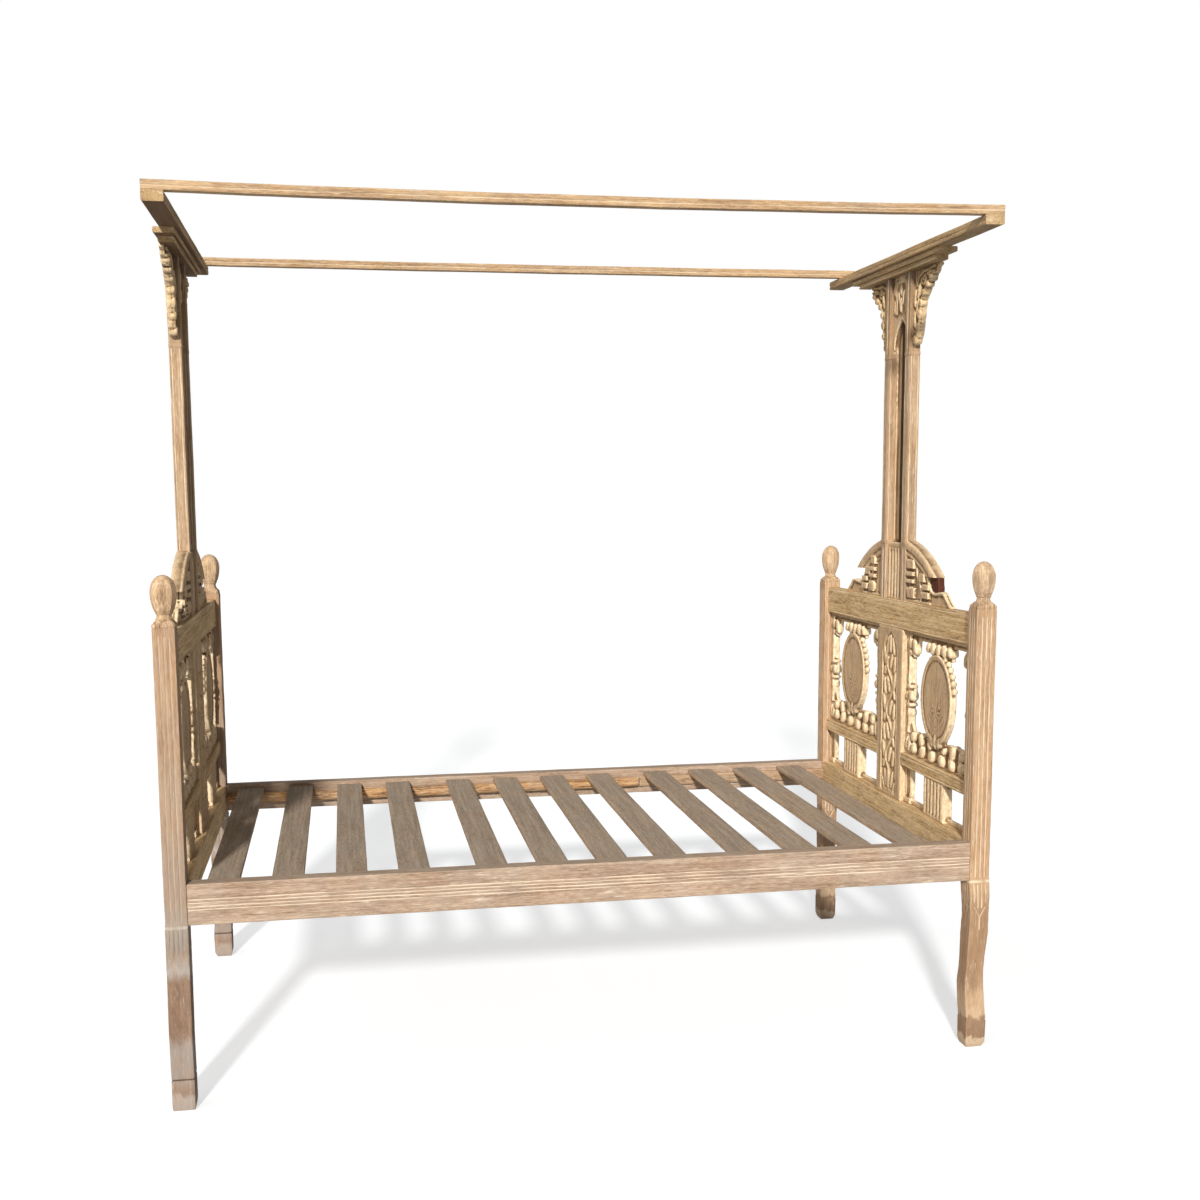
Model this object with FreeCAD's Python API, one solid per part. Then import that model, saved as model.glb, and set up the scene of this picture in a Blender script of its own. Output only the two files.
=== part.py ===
import FreeCAD, Part

import math
import os

from FreeCAD import Vector

# Miniature canopy bed in weathered teak, millimetres.
# X runs along the bed, -Y is the front, +Z is up, and the origin lies on the
# floor under the middle of the bed.

os.makedirs("parts", exist_ok=True)

# ---------------------------------------------------------------- sizes
# the whole bed
bed_length = 500.0
bed_width = 283.0

# corner posts, one piece from foot to shoulder
post_side = 12.75
post_over_rail = 4.0
foot_height = 18.0
foot_taper = 0.3
ankle_height = 34.0
ankle_slimming = 1.1
knee_drop = 17.3
calf_slimming = 0.4

# acorn finials
cushion_height = 4.0
cushion_edge = 1.6
cushion_neck = 8.6
collar_radius = 4.2
collar_height = 3.5
acorn_radius = 7.0
acorn_height = 21.5
acorn_belly = 0.45
acorn_shoulder = 0.8
acorn_shoulder_radius = 4.3
spigot_radius = 2.2
spigot_end_gap = 0.5

# side rails between the corner posts
rail_top = 133.5
rail_thickness = 10.0
rail_setback = 1.0
front_rail_height = 24.2
back_rail_height = 19.5
reed_count = 4
reed_pitch = 2.0
reed_width = 0.8
reed_depth = 0.6

# tenons of every rail
tenon_length = 6.0
tenon_shoulder = 2.0
glue_play = 0.1
lift_play = 0.3

# slats, in equal groups with a wider gap between groups
slat_width = 18.7
slat_thickness = 3.4
slat_drop = 2.5
slats_in_group = 4
group_count = 3
first_slat_gap = 9.5
last_slat_gap = 20.6
group_gap_ratio = 1.545

# ledgers under the slat ends
ledger_height = 8.0
ledger_depth = 7.0
slats_on_pole = 8
pole_tail = 22.6
cleat_depth = 3.0
ledger_break = 2.0
pole_sink = 1.0
pole_saddle_depth = 4.0
pole_saddle_height = 6.0
pole_relief = 0.4

# end frames
bottom_rail_height = 20.0
bottom_rail_thickness = 11.0
top_rail_height = 20.0
frame_thickness = 8.0
frame_setback = 2.5
muntin_width = 44.0
muntin_sunk_width = 26.0
muntin_sunk_depth = 1.5
mid_rail_height = 9.0

# carved panels in the bays
panel_height = 87.0
panel_setback = 3.9
panel_thickness = 3.8
vine_width = 10.0
panel_head = 6.0
gadroon_height = 17.0
medallion_side_gap = 19.9
medallion_top_gap = 6.0
medallion_thickness = 5.0
medallion_neck = 30.0
medallion_setback = 0.5
medallion_seat = 2.0
medallion_crown = 0.3
corner_drop = 13.0
corner_reach = 7.0
corner_waist = (0.8, 0.55)

# fluted blocks under the middle rails
plinth_height = 26.5
plinth_width = 31.5
plinth_thickness = 5.3
sill_height = 3.0
window_head = 1.5

# twin canopy posts at the middle of each end
canopy_post_width = 8.5
canopy_post_depth = 8.0
canopy_post_setback = 3.0
canopy_pair_width = 44.0
canopy_tenon = 5.0
canopy_post_length = 224.5

# board between the twin posts
slot_board_thickness = 2.0
crest_panel_thickness = 6.0
crest_panel_height = 40.0
lancet_drop = 29.5
lancet_haunch = 0.7

# crest on the top rail
crest_thickness = 4.0
crest_setback = 2.5
shoulder_reach = 92.0
shoulder_step = 80.0
shoulder_height = 9.5
shoulder_dip = 5.0
shoulder_dip_height = 5.2
crest_fillet = (5.0, 3.0)
crest_neck = 50.0
arch_radius = 111.3
arch_band = 13.8
arch_crown = 44.0
arch_cut = 19.0

# capital and cap beam
cap_beam_height = 7.0
cap_beam_step = 3.5
cap_beam_length = 152.0
cap_beam_ledge = 10.0
cap_beam_width = 12.5
cap_beam_inset = 1.5
bracket_height = 50.0
bracket_reach = 37.0
bracket_thickness = 6.0
# share of the reach and of the height at each corner of the bracket
bracket_shape = [
    (0.0, 0.0), (0.23, 0.14), (0.27, 0.30), (0.33, 0.54), (0.52, 0.70),
    (0.76, 0.78), (0.88, 0.90), (1.0, 0.94), (1.0, 1.0), (0.0, 1.0)]

# tester frame, lifted off as one
tester_board_thickness = 6.0
tester_board_width = 12.0
tester_overhang = 4.5
tester_inset = 5.0
tester_rail_height = 5.5
tester_rail_depth = 6.5
back_rail_from_middle = 96.0
tester_spigot = 3.0
pin_radius = 1.1
pin_length = 8.0

# ---------------------------------------------------------------- places
half_length = bed_length / 2
half_width = bed_width / 2
post_inner_x = half_length - post_side
post_inner_y = half_width - post_side
rail_outer_y = half_width - rail_setback
rail_inner_y = rail_outer_y - rail_thickness
slat_top = rail_top - slat_drop
slat_bottom = slat_top - slat_thickness
slat_count = slats_in_group * group_count
open_length = 2 * post_inner_x - first_slat_gap - last_slat_gap - slat_count * slat_width
slat_gap = open_length / (slat_count - group_count + (group_count - 1) * group_gap_ratio)
slat_pitch = slat_width + slat_gap
group_pitch = slats_in_group * slat_pitch + (group_gap_ratio - 1) * slat_gap


def slat_left(number):
    """Left edge of a slat, counted from nought at the left end."""
    group, place = divmod(number, slats_in_group)
    return -post_inner_x + first_slat_gap + group * group_pitch + place * slat_pitch


pole_length = slat_left(slats_on_pole - 1) + slat_width + pole_tail + post_inner_x
frame_inner_x = post_inner_x + frame_setback
panel_inner_x = frame_inner_x + panel_setback
mid_rail_bottom = rail_top + plinth_height
mid_rail_top = mid_rail_bottom + mid_rail_height
top_rail_bottom = mid_rail_top + panel_height
top_rail_top = top_rail_bottom + top_rail_height
post_height = top_rail_top + post_over_rail
knee_height = rail_top - front_rail_height - knee_drop
spigot_length = post_height - top_rail_top + tenon_shoulder - spigot_end_gap
bay_inner_y = muntin_width / 2
bay_outer_y = post_inner_y
bay_middle_y = (bay_inner_y + bay_outer_y) / 2
panel_window_bottom = mid_rail_top + gadroon_height
panel_window_top = top_rail_bottom - panel_head
medallion_width = bay_outer_y - bay_inner_y - 2 * (vine_width + medallion_side_gap)
medallion_height = panel_window_top - panel_window_bottom - medallion_top_gap + medallion_seat
canopy_inner_x = post_inner_x + canopy_post_setback
canopy_outer_x = canopy_inner_x + canopy_post_depth
pair_outer_y = canopy_pair_width / 2
pair_inner_y = pair_outer_y - canopy_post_width
cap_beam_bottom = top_rail_top + canopy_post_length
tester_bottom = cap_beam_bottom + cap_beam_height
lancet_top = cap_beam_bottom - lancet_drop
tester_outer_x = half_length - tester_inset
tester_inner_x = tester_outer_x - tester_board_width
tester_board_top = tester_bottom + tester_board_thickness
tester_board_length = bed_width + 2 * tester_overhang
# the post heads stand where the posts and the tester boards overlap
overlap_inner_x = max(canopy_inner_x, tester_inner_x)
overlap_outer_x = min(canopy_outer_x, tester_outer_x)
canopy_mid_x = (overlap_inner_x + overlap_outer_x) / 2

ends = {"left": -1, "right": 1}
sides = {"front": -1, "back": 1}


# ---------------------------------------------------------------- helpers
def block(x, y, z):
    """Box between the two values given along each axis, in either order."""
    low = Vector(min(x), min(y), min(z))
    return Part.makeBox(abs(x[1] - x[0]), abs(y[1] - y[0]), abs(z[1] - z[0]), low)


def square_wire(centre_x, centre_y, z, side):
    h = side / 2
    corners = [(-h, -h), (h, -h), (h, h), (-h, h), (-h, -h)]
    return Part.makePolygon([Vector(centre_x + a, centre_y + b, z) for a, b in corners])


def slab(outline, x):
    """Closed (y, z) outline given as points, pushed along X between two values."""
    points = [Vector(min(x), y, z) for y, z in outline]
    face = Part.Face(Part.makePolygon(points + [points[0]]))
    return face.extrude(Vector(abs(x[1] - x[0]), 0, 0))


def oval(middle_y, middle_z, width, height, x):
    """Upright oval disc between two X values."""
    face = Part.Face(Part.Wire(Part.makeCircle(1.0)))
    # a unit circle, stretched both ways and turned so that it faces along X
    place = FreeCAD.Matrix(
        0, 0, 1, min(x), width / 2, 0, 0, middle_y, 0, height / 2, 0, middle_z, 0, 0, 0, 1)
    face = face.transformGeometry(place)
    return face.extrude(Vector(abs(x[1] - x[0]), 0, 0))


def fused(shapes):
    solid = shapes[0].multiFuse(shapes[1:]) if len(shapes) > 1 else shapes[0]
    return solid.removeSplitter()


def save(node, shape):
    shape.exportStep(os.path.join("parts", node + ".step"))


# ---------------------------------------------------------------- corner posts
def corner_post(end, side):
    x = end * (half_length - post_side / 2)
    y = side * (half_width - post_side / 2)
    stations = [
        (0.0, post_side),
        (foot_height, post_side - foot_taper),
        (ankle_height, post_side - ankle_slimming),
        (knee_height, post_side - calf_slimming),
        (rail_top - front_rail_height, post_side),
        (post_height, post_side),
    ]
    wires = [square_wire(x, y, z, width) for z, width in stations]
    post = Part.makeLoft(wires, True, True)
    spigot_hole = Part.makeCylinder(
        spigot_radius + glue_play, spigot_length + glue_play,
        Vector(x, y, post_height - spigot_length - glue_play))
    mortises = [spigot_hole]
    # side rail
    depth = tenon_length + glue_play
    rail_height = front_rail_height if side < 0 else back_rail_height
    mortises.append(block(
        (end * post_inner_x, end * (post_inner_x + depth)),
        (side * (rail_outer_y - tenon_shoulder + glue_play),
         side * (rail_inner_y + tenon_shoulder - glue_play)),
        (rail_top - tenon_shoulder + glue_play,
         rail_top - rail_height + tenon_shoulder - glue_play)))
    # end rails; the lower ones enter the post short of the side rail's tenon
    reach = rail_inner_y + tenon_shoulder - glue_play - post_inner_y
    for low, high, thick, inner in end_rail_levels():
        length = depth if low > rail_top else min(depth, reach - 2 * glue_play)
        mortises.append(block(
            (end * (inner + tenon_shoulder - glue_play),
             end * (inner + thick - tenon_shoulder + glue_play)),
            (side * post_inner_y, side * (post_inner_y + length)),
            (low + tenon_shoulder - glue_play, high - tenon_shoulder + glue_play)))
    return post.cut(fused(mortises))


def end_rail_levels():
    """Bottom, top, thickness and inner face of each rail that enters a post."""
    return [
        (rail_top - bottom_rail_height, rail_top, bottom_rail_thickness, post_inner_x),
        (mid_rail_bottom, mid_rail_top, frame_thickness, frame_inner_x),
        (top_rail_bottom, top_rail_top, frame_thickness, frame_inner_x),
    ]


def finial(end, side):
    x = end * (half_length - post_side / 2)
    y = side * (half_width - post_side / 2)
    z = post_height
    cushion = Part.makeLoft([
        square_wire(x, y, z, post_side),
        square_wire(x, y, z + cushion_edge, post_side),
        square_wire(x, y, z + cushion_height, cushion_neck),
    ], True, True)
    collar_top = z + cushion_height + collar_height
    collar = Part.makeCylinder(collar_radius, collar_height, Vector(x, y, z + cushion_height))
    foot = collar_radius
    belly = collar_top + acorn_height * acorn_belly
    shoulder = collar_top + acorn_height * acorn_shoulder
    tip = collar_top + acorn_height
    side_arc = Part.Arc(
        Vector(foot, 0, collar_top), Vector(acorn_radius, 0, belly),
        Vector(acorn_shoulder_radius, 0, shoulder)).toShape()
    edges = [
        side_arc,
        Part.makeLine(Vector(acorn_shoulder_radius, 0, shoulder), Vector(0, 0, tip)),
        Part.makeLine(Vector(0, 0, tip), Vector(0, 0, collar_top)),
        Part.makeLine(Vector(0, 0, collar_top), Vector(foot, 0, collar_top)),
    ]
    acorn = Part.Face(Part.Wire(edges)).revolve(Vector(0, 0, 0), Vector(0, 0, 1), 360)
    acorn.translate(Vector(x, y, 0))
    spigot = Part.makeCylinder(spigot_radius, spigot_length, Vector(x, y, z - spigot_length))
    return fused([cushion, collar, acorn, spigot])


# ---------------------------------------------------------------- bed rails and slats
def side_rail(side):
    height = front_rail_height if side < 0 else back_rail_height
    rail = block(
        (-post_inner_x, post_inner_x),
        (side * rail_outer_y, side * rail_inner_y),
        (rail_top, rail_top - height))
    tenon = block(
        (-post_inner_x - tenon_length, post_inner_x + tenon_length),
        (side * (rail_outer_y - tenon_shoulder), side * (rail_inner_y + tenon_shoulder)),
        (rail_top - tenon_shoulder, rail_top - height + tenon_shoulder))
    rail = fused([rail, tenon])
    reed_middle = rail_top - height / 2
    for number in range(reed_count):
        z = reed_middle + (number - (reed_count - 1) / 2) * reed_pitch
        rail = rail.cut(block(
            (-post_inner_x, post_inner_x),
            (side * rail_outer_y, side * (rail_outer_y - reed_depth)),
            (z - reed_width / 2, z + reed_width / 2)))
    return rail


def front_ledger():
    return block(
        (-post_inner_x, post_inner_x),
        (-rail_inner_y, -rail_inner_y + ledger_depth),
        (slat_bottom - ledger_height, slat_bottom))


def back_ledger():
    """Round pole with a flat back and top, then a thin cleat in line with it."""
    start = -post_inner_x
    radius = ledger_height / 2
    middle_z = slat_bottom - radius
    pole = Part.makeCylinder(
        radius, pole_length, Vector(start, rail_inner_y - radius + pole_sink, middle_z), Vector(1, 0, 0))
    keep = block(
        (start, start + pole_length), (rail_inner_y, rail_inner_y - ledger_height),
        (slat_bottom - ledger_height, slat_bottom - pole_relief))
    saddle = block(
        (start, start + pole_length), (rail_inner_y, rail_inner_y - pole_saddle_depth),
        (slat_bottom - pole_saddle_height, slat_bottom))
    pole = fused([pole.common(keep), saddle])
    cleat = block(
        (start + pole_length + ledger_break, post_inner_x),
        (rail_inner_y, rail_inner_y - cleat_depth),
        (slat_bottom - ledger_height, slat_bottom))
    return Part.makeCompound([pole, cleat])


def slat(number):
    left = slat_left(number)
    end_y = rail_inner_y - lift_play
    return block((left, left + slat_width), (-end_y, end_y), (slat_bottom, slat_top))


# ---------------------------------------------------------------- end frames
def cross_rail(end, low, high, thick, inner):
    """Rail from post to post, or part of one, with a tenon into each post."""
    rail = block(
        (end * inner, end * (inner + thick)), (-post_inner_y, post_inner_y), (low, high))
    reach = rail_inner_y + tenon_shoulder - glue_play - post_inner_y
    length = tenon_length if low > rail_top else min(tenon_length, reach - 3 * glue_play)
    tenon = block(
        (end * (inner + tenon_shoulder), end * (inner + thick - tenon_shoulder)),
        (-post_inner_y - length, post_inner_y + length),
        (low + tenon_shoulder, high - tenon_shoulder))
    return fused([rail, tenon])


def top_rail(end):
    rail = cross_rail(end, *end_rail_levels()[2])
    return rail.cut(fused(canopy_foot_mortises(end) + [muntin_tenon(end, glue_play, True)]))


def bottom_rail(end):
    rail = cross_rail(end, *end_rail_levels()[0])
    return rail.cut(muntin_tenon(end, glue_play, False))


def muntin_tenon(end, play, upper):
    """Tenon of the middle muntin into the top or bottom rail, grown by the play."""
    x = (end * (frame_inner_x + tenon_shoulder - play),
         end * (frame_inner_x + frame_thickness - tenon_shoulder + play))
    y = muntin_width / 2 - 3 * tenon_shoulder + play
    length = tenon_length + play
    z = (top_rail_bottom, top_rail_bottom + length) if upper else (rail_top - length, rail_top)
    return block(x, (-y, y), z)


def muntin(end):
    body = block(
        (end * frame_inner_x, end * (frame_inner_x + frame_thickness)),
        (-muntin_width / 2, muntin_width / 2), (rail_top, top_rail_bottom))
    sunk = block(
        (end * frame_inner_x, end * (frame_inner_x + muntin_sunk_depth)),
        (-muntin_sunk_width / 2, muntin_sunk_width / 2),
        (rail_top + sill_height, top_rail_bottom - sill_height))
    body = body.cut(sunk)
    depth = tenon_length + glue_play
    for side in (-1, 1):
        body = body.cut(block(
            (end * (frame_inner_x + tenon_shoulder - glue_play),
             end * (frame_inner_x + frame_thickness - tenon_shoulder + glue_play)),
            (side * muntin_width / 2, side * (muntin_width / 2 - depth)),
            (mid_rail_bottom + tenon_shoulder - glue_play,
             mid_rail_top - tenon_shoulder + glue_play)))
    return fused([body, muntin_tenon(end, 0, True), muntin_tenon(end, 0, False)])


def mid_rails(end):
    rails = []
    for side in (-1, 1):
        rail = block(
            (end * frame_inner_x, end * (frame_inner_x + frame_thickness)),
            (side * bay_inner_y, side * bay_outer_y), (mid_rail_bottom, mid_rail_top))
        tenon = block(
            (end * (frame_inner_x + tenon_shoulder),
             end * (frame_inner_x + frame_thickness - tenon_shoulder)),
            (side * (bay_inner_y - tenon_length), side * (bay_outer_y + tenon_length)),
            (mid_rail_bottom + tenon_shoulder, mid_rail_top - tenon_shoulder))
        rails.append(fused([rail, tenon]))
    return Part.makeCompound(rails)


def carved_panel(end, side):
    """Pierced board with an oval medallion held between a head and a foot."""
    x = (end * panel_inner_x, end * (panel_inner_x + panel_thickness))
    inner = side * bay_inner_y
    outer = side * bay_outer_y
    board = block(x, (inner, outer), (mid_rail_top, top_rail_bottom))
    window = block(
        x, (inner + side * vine_width, outer - side * vine_width),
        (panel_window_bottom, panel_window_top))
    pieces = [board.cut(window)]
    middle_y = side * bay_middle_y
    middle_z = panel_window_bottom - medallion_seat + medallion_height / 2
    face_x = frame_inner_x + medallion_setback
    pieces.append(oval(
        middle_y, middle_z, medallion_width, medallion_height,
        (end * face_x, end * (face_x + medallion_thickness))))
    pieces.append(block(
        x, (middle_y - medallion_neck / 2, middle_y + medallion_neck / 2),
        (middle_z + medallion_height * medallion_crown, panel_window_top)))
    head = panel_window_top
    for edge, way in ((inner, side), (outer, -side)):
        start = edge + way * vine_width
        pieces.append(slab(
            [(start, head), (start + way * corner_reach, head),
             (start + way * corner_reach * corner_waist[0], head - corner_drop * corner_waist[1]),
             (start, head - corner_drop)], x))
    return fused(pieces)


def plinth_panels(end):
    """Lower board of each bay: fluted block between two small windows."""
    x = (end * panel_inner_x, end * (panel_inner_x + panel_thickness))
    boards = []
    for side in (-1, 1):
        inner = side * bay_inner_y
        outer = side * bay_outer_y
        board = block(x, (inner, outer), (rail_top, mid_rail_bottom))
        half = side * plinth_width / 2
        middle = side * bay_middle_y
        low = rail_top + sill_height
        high = mid_rail_bottom - window_head
        board = board.cut(block(x, (inner + side * vine_width, middle - half), (low, high)))
        board = board.cut(block(x, (middle + half, outer - side * vine_width), (low, high)))
        face_x = frame_inner_x + medallion_setback
        plinth = block(
            (end * face_x, end * (face_x + plinth_thickness)),
            (middle - half, middle + half), (rail_top, mid_rail_bottom))
        boards.append(fused([board, plinth]))
    return Part.makeCompound(boards)


# ---------------------------------------------------------------- canopy posts and crest
def canopy_foot_mortises(end):
    holes = []
    for side in (-1, 1):
        holes.append(block(
            (end * (canopy_inner_x + tenon_shoulder - glue_play),
             end * (canopy_outer_x - 2 * tenon_shoulder + glue_play)),
            (side * (pair_inner_y + tenon_shoulder - glue_play),
             side * (pair_outer_y - tenon_shoulder + glue_play)),
            (top_rail_top - canopy_tenon - glue_play, top_rail_top)))
    return holes


def canopy_post(end, side):
    post = block(
        (end * canopy_inner_x, end * canopy_outer_x),
        (side * pair_inner_y, side * pair_outer_y), (top_rail_top, cap_beam_bottom))
    foot = block(
        (end * (canopy_inner_x + tenon_shoulder), end * (canopy_outer_x - 2 * tenon_shoulder)),
        (side * (pair_inner_y + tenon_shoulder), side * (pair_outer_y - tenon_shoulder)),
        (top_rail_top - canopy_tenon, top_rail_top))
    middle_y = (pair_inner_y + pair_outer_y) / 2
    head = Part.makeCylinder(
        spigot_radius, cap_beam_height + tester_spigot,
        Vector(end * canopy_mid_x, side * middle_y, cap_beam_bottom))
    return fused([post, foot, head])


def slot_board(end):
    """Thin board closing the slot, thick in the crest and at the capital."""
    outer = canopy_outer_x
    y = (-pair_inner_y, pair_inner_y)
    thin = block((end * outer, end * (outer - slot_board_thickness)), y,
                 (top_rail_top, cap_beam_bottom))
    crest = block((end * outer, end * (outer - crest_panel_thickness)), y,
                  (top_rail_top, top_rail_top + crest_panel_height))
    arch_z = lancet_top - pair_inner_y
    head = slab([
        (-pair_inner_y, cap_beam_bottom), (-pair_inner_y, arch_z),
        (-pair_inner_y * lancet_haunch, arch_z + pair_inner_y * lancet_haunch), (0, lancet_top),
        (pair_inner_y * lancet_haunch, arch_z + pair_inner_y * lancet_haunch), (pair_inner_y, arch_z),
        (pair_inner_y, cap_beam_bottom)], (end * outer, end * (outer - crest_panel_thickness)))
    return fused([thin, crest, head])


def arch_centre_z():
    return top_rail_top + arch_crown - arch_radius


def crest_board(end):
    """Board with ogee shoulders each side of the twin posts, under the arch."""
    inner = frame_inner_x + crest_setback
    x = (end * inner, end * (inner + crest_thickness))
    base = top_rail_top
    step = base + shoulder_height
    cut = base + arch_cut
    inner_radius = arch_radius - arch_band
    centre = arch_centre_z()
    halves = []
    for side in (-1, 1):
        below = math.sqrt(inner_radius ** 2 - (cut - centre) ** 2)
        neck = min(crest_neck, below)
        top_y = pair_outer_y
        top_z = centre + math.sqrt(inner_radius ** 2 - top_y ** 2)
        mid_y = (top_y + below) / 2
        mid_z = centre + math.sqrt(inner_radius ** 2 - mid_y ** 2)
        outline = [
            (pair_outer_y, base), (shoulder_reach, base),
            (shoulder_step + shoulder_dip, base + shoulder_dip_height),
            (shoulder_step, step), (neck + crest_fillet[0], step),
            (neck, step + crest_fillet[1]), (neck, cut)]
        wire = [Vector(min(x), side * y, z) for y, z in outline]
        edges = [Part.makeLine(a, b) for a, b in zip(wire, wire[1:])]
        start = Vector(min(x), side * below, cut)
        if neck < below:
            edges.append(Part.makeLine(wire[-1], start))
        apex = Vector(min(x), side * top_y, top_z)
        edges.append(Part.Arc(start, Vector(min(x), side * mid_y, mid_z), apex).toShape())
        edges.append(Part.makeLine(apex, wire[0]))
        face = Part.Face(Part.Wire(edges))
        halves.append(face.extrude(Vector(crest_thickness, 0, 0)))
    return Part.makeCompound(halves)


def crest_arch(end):
    """Two quarter mouldings that spring from the cut ends up to the twin posts."""
    x = (end * canopy_inner_x, end * canopy_outer_x)
    centre = arch_centre_z()
    start = Vector(min(x), 0, centre)
    outer = Part.makeCylinder(arch_radius, canopy_post_depth, start, Vector(1, 0, 0))
    hollow = Part.makeCylinder(arch_radius - arch_band, canopy_post_depth, start, Vector(1, 0, 0))
    ring = outer.cut(hollow)
    halves = []
    for side in (-1, 1):
        keep = block(x, (side * pair_outer_y, side * arch_radius),
                     (top_rail_top + arch_cut, top_rail_top + arch_crown))
        halves.append(ring.common(keep))
    return Part.makeCompound(halves)


def bracket(end, side):
    """Stepped and scrolled corbel beside a canopy post, under the cap beam."""
    middle_x = (canopy_inner_x + canopy_outer_x) / 2
    x = (end * (middle_x - bracket_thickness / 2), end * (middle_x + bracket_thickness / 2))
    foot = cap_beam_bottom - bracket_height
    outline = [
        (side * (pair_outer_y + across * bracket_reach), foot + up * bracket_height)
        for across, up in bracket_shape]
    return slab(outline, x)


def cap_beam(end):
    outer = canopy_outer_x
    inner = outer - cap_beam_width
    half = cap_beam_length / 2
    middle = cap_beam_bottom + cap_beam_step
    upper = block((end * inner, end * outer), (-half, half), (middle, tester_bottom))
    lower = block(
        (end * (inner + cap_beam_inset), end * (outer - cap_beam_inset)),
        (-half + cap_beam_ledge, half - cap_beam_ledge), (cap_beam_bottom, middle))
    beam = fused([upper, lower])
    middle_y = (pair_inner_y + pair_outer_y) / 2
    for side in (-1, 1):
        beam = beam.cut(Part.makeCylinder(
            spigot_radius + glue_play, cap_beam_height,
            Vector(end * canopy_mid_x, side * middle_y, cap_beam_bottom)))
    return beam


# ---------------------------------------------------------------- tester frame
def tester_rail_places():
    """Front and back edge of each long rail."""
    front = -tester_board_length / 2
    return {
        "front": (front, front + tester_rail_depth),
        "back": (back_rail_from_middle, back_rail_from_middle + tester_rail_depth),
    }


def pin_places():
    for end in (-1, 1):
        for front, back in tester_rail_places().values():
            yield Vector(end * (tester_inner_x + tester_outer_x) / 2, (front + back) / 2,
                         tester_board_top + tester_rail_height - pin_length)


def tester_end_board(end):
    board = block(
        (end * tester_inner_x, end * tester_outer_x),
        (-tester_board_length / 2, tester_board_length / 2), (tester_bottom, tester_board_top))
    middle_y = (pair_inner_y + pair_outer_y) / 2
    for side in (-1, 1):
        board = board.cut(Part.makeCylinder(
            spigot_radius + lift_play, tester_spigot + lift_play,
            Vector(end * canopy_mid_x, side * middle_y, tester_bottom)))
    for place in pin_places():
        if place.x * end > 0:
            board = board.cut(Part.makeCylinder(pin_radius, pin_length, place))
    return board


def tester_rail(side_name):
    y = tester_rail_places()[side_name]
    rail = block(
        (-tester_outer_x, tester_outer_x), y,
        (tester_board_top, tester_board_top + tester_rail_height))
    for place in pin_places():
        if min(y) < place.y < max(y):
            rail = rail.cut(Part.makeCylinder(pin_radius, pin_length, place))
    return rail


def tester_pins():
    return Part.makeCompound([
        Part.makeCylinder(pin_radius, pin_length, place) for place in pin_places()])


# ---------------------------------------------------------------- build
for end_name, end in ends.items():
    for side_name, side in sides.items():
        corner = side_name + "_" + end_name
        save("post_" + corner, corner_post(end, side))
        save("finial_" + corner, finial(end, side))
        save("carved_panel_" + corner, carved_panel(end, side))
        save("canopy_post_" + corner, canopy_post(end, side))
        save("bracket_" + corner, bracket(end, side))
    save("end_top_rail_" + end_name, top_rail(end))
    save("end_bottom_rail_" + end_name, bottom_rail(end))
    save("end_mid_rails_" + end_name, mid_rails(end))
    save("muntin_" + end_name, muntin(end))
    save("plinth_panels_" + end_name, plinth_panels(end))
    save("slot_board_" + end_name, slot_board(end))
    save("crest_board_" + end_name, crest_board(end))
    save("crest_arch_" + end_name, crest_arch(end))
    save("cap_beam_" + end_name, cap_beam(end))
    save("tester_board_" + end_name, tester_end_board(end))

for side_name, side in sides.items():
    save("side_rail_" + side_name, side_rail(side))
    save("tester_rail_" + side_name, tester_rail(side_name))

save("ledger_front", front_ledger())
save("ledger_back", back_ledger())
save("tester_pins", tester_pins())

for number in range(slat_count):
    save("slat_%02d" % (number + 1), slat(number))
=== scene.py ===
import math

import bpy
import bmesh
import numpy as np
from mathutils import Matrix, Vector


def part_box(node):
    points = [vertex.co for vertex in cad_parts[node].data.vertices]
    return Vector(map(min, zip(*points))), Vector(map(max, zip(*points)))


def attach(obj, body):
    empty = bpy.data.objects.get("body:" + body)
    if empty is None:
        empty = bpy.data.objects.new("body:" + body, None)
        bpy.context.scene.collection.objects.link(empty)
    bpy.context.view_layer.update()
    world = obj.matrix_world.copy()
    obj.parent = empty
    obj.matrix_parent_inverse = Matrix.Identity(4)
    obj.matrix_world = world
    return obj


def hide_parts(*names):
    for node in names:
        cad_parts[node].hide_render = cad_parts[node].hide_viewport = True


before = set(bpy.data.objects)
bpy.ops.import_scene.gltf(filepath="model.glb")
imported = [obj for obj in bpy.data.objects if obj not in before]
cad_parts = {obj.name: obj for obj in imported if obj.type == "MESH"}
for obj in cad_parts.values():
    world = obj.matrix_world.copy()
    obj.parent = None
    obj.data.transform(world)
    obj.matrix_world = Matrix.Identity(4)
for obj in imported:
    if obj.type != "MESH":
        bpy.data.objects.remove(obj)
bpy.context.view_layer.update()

# ------------------------------------------------------------------ view, floor and light
# The bed stands on a plain pale floor in soft studio light. The main light is low and
# comes from the front left, with a weak broad one from the left, so the fronts are
# bright and the faces turned away stay dark.
camera_place = Vector((-0.1443, -0.9228, 0.3519))
camera_yaw = math.radians(9.72)
camera_pitch = math.radians(6.95)
camera_roll = math.radians(0.41)
camera_lens = 41.07
camera_shift = (0.0173, 0.0506)


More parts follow.
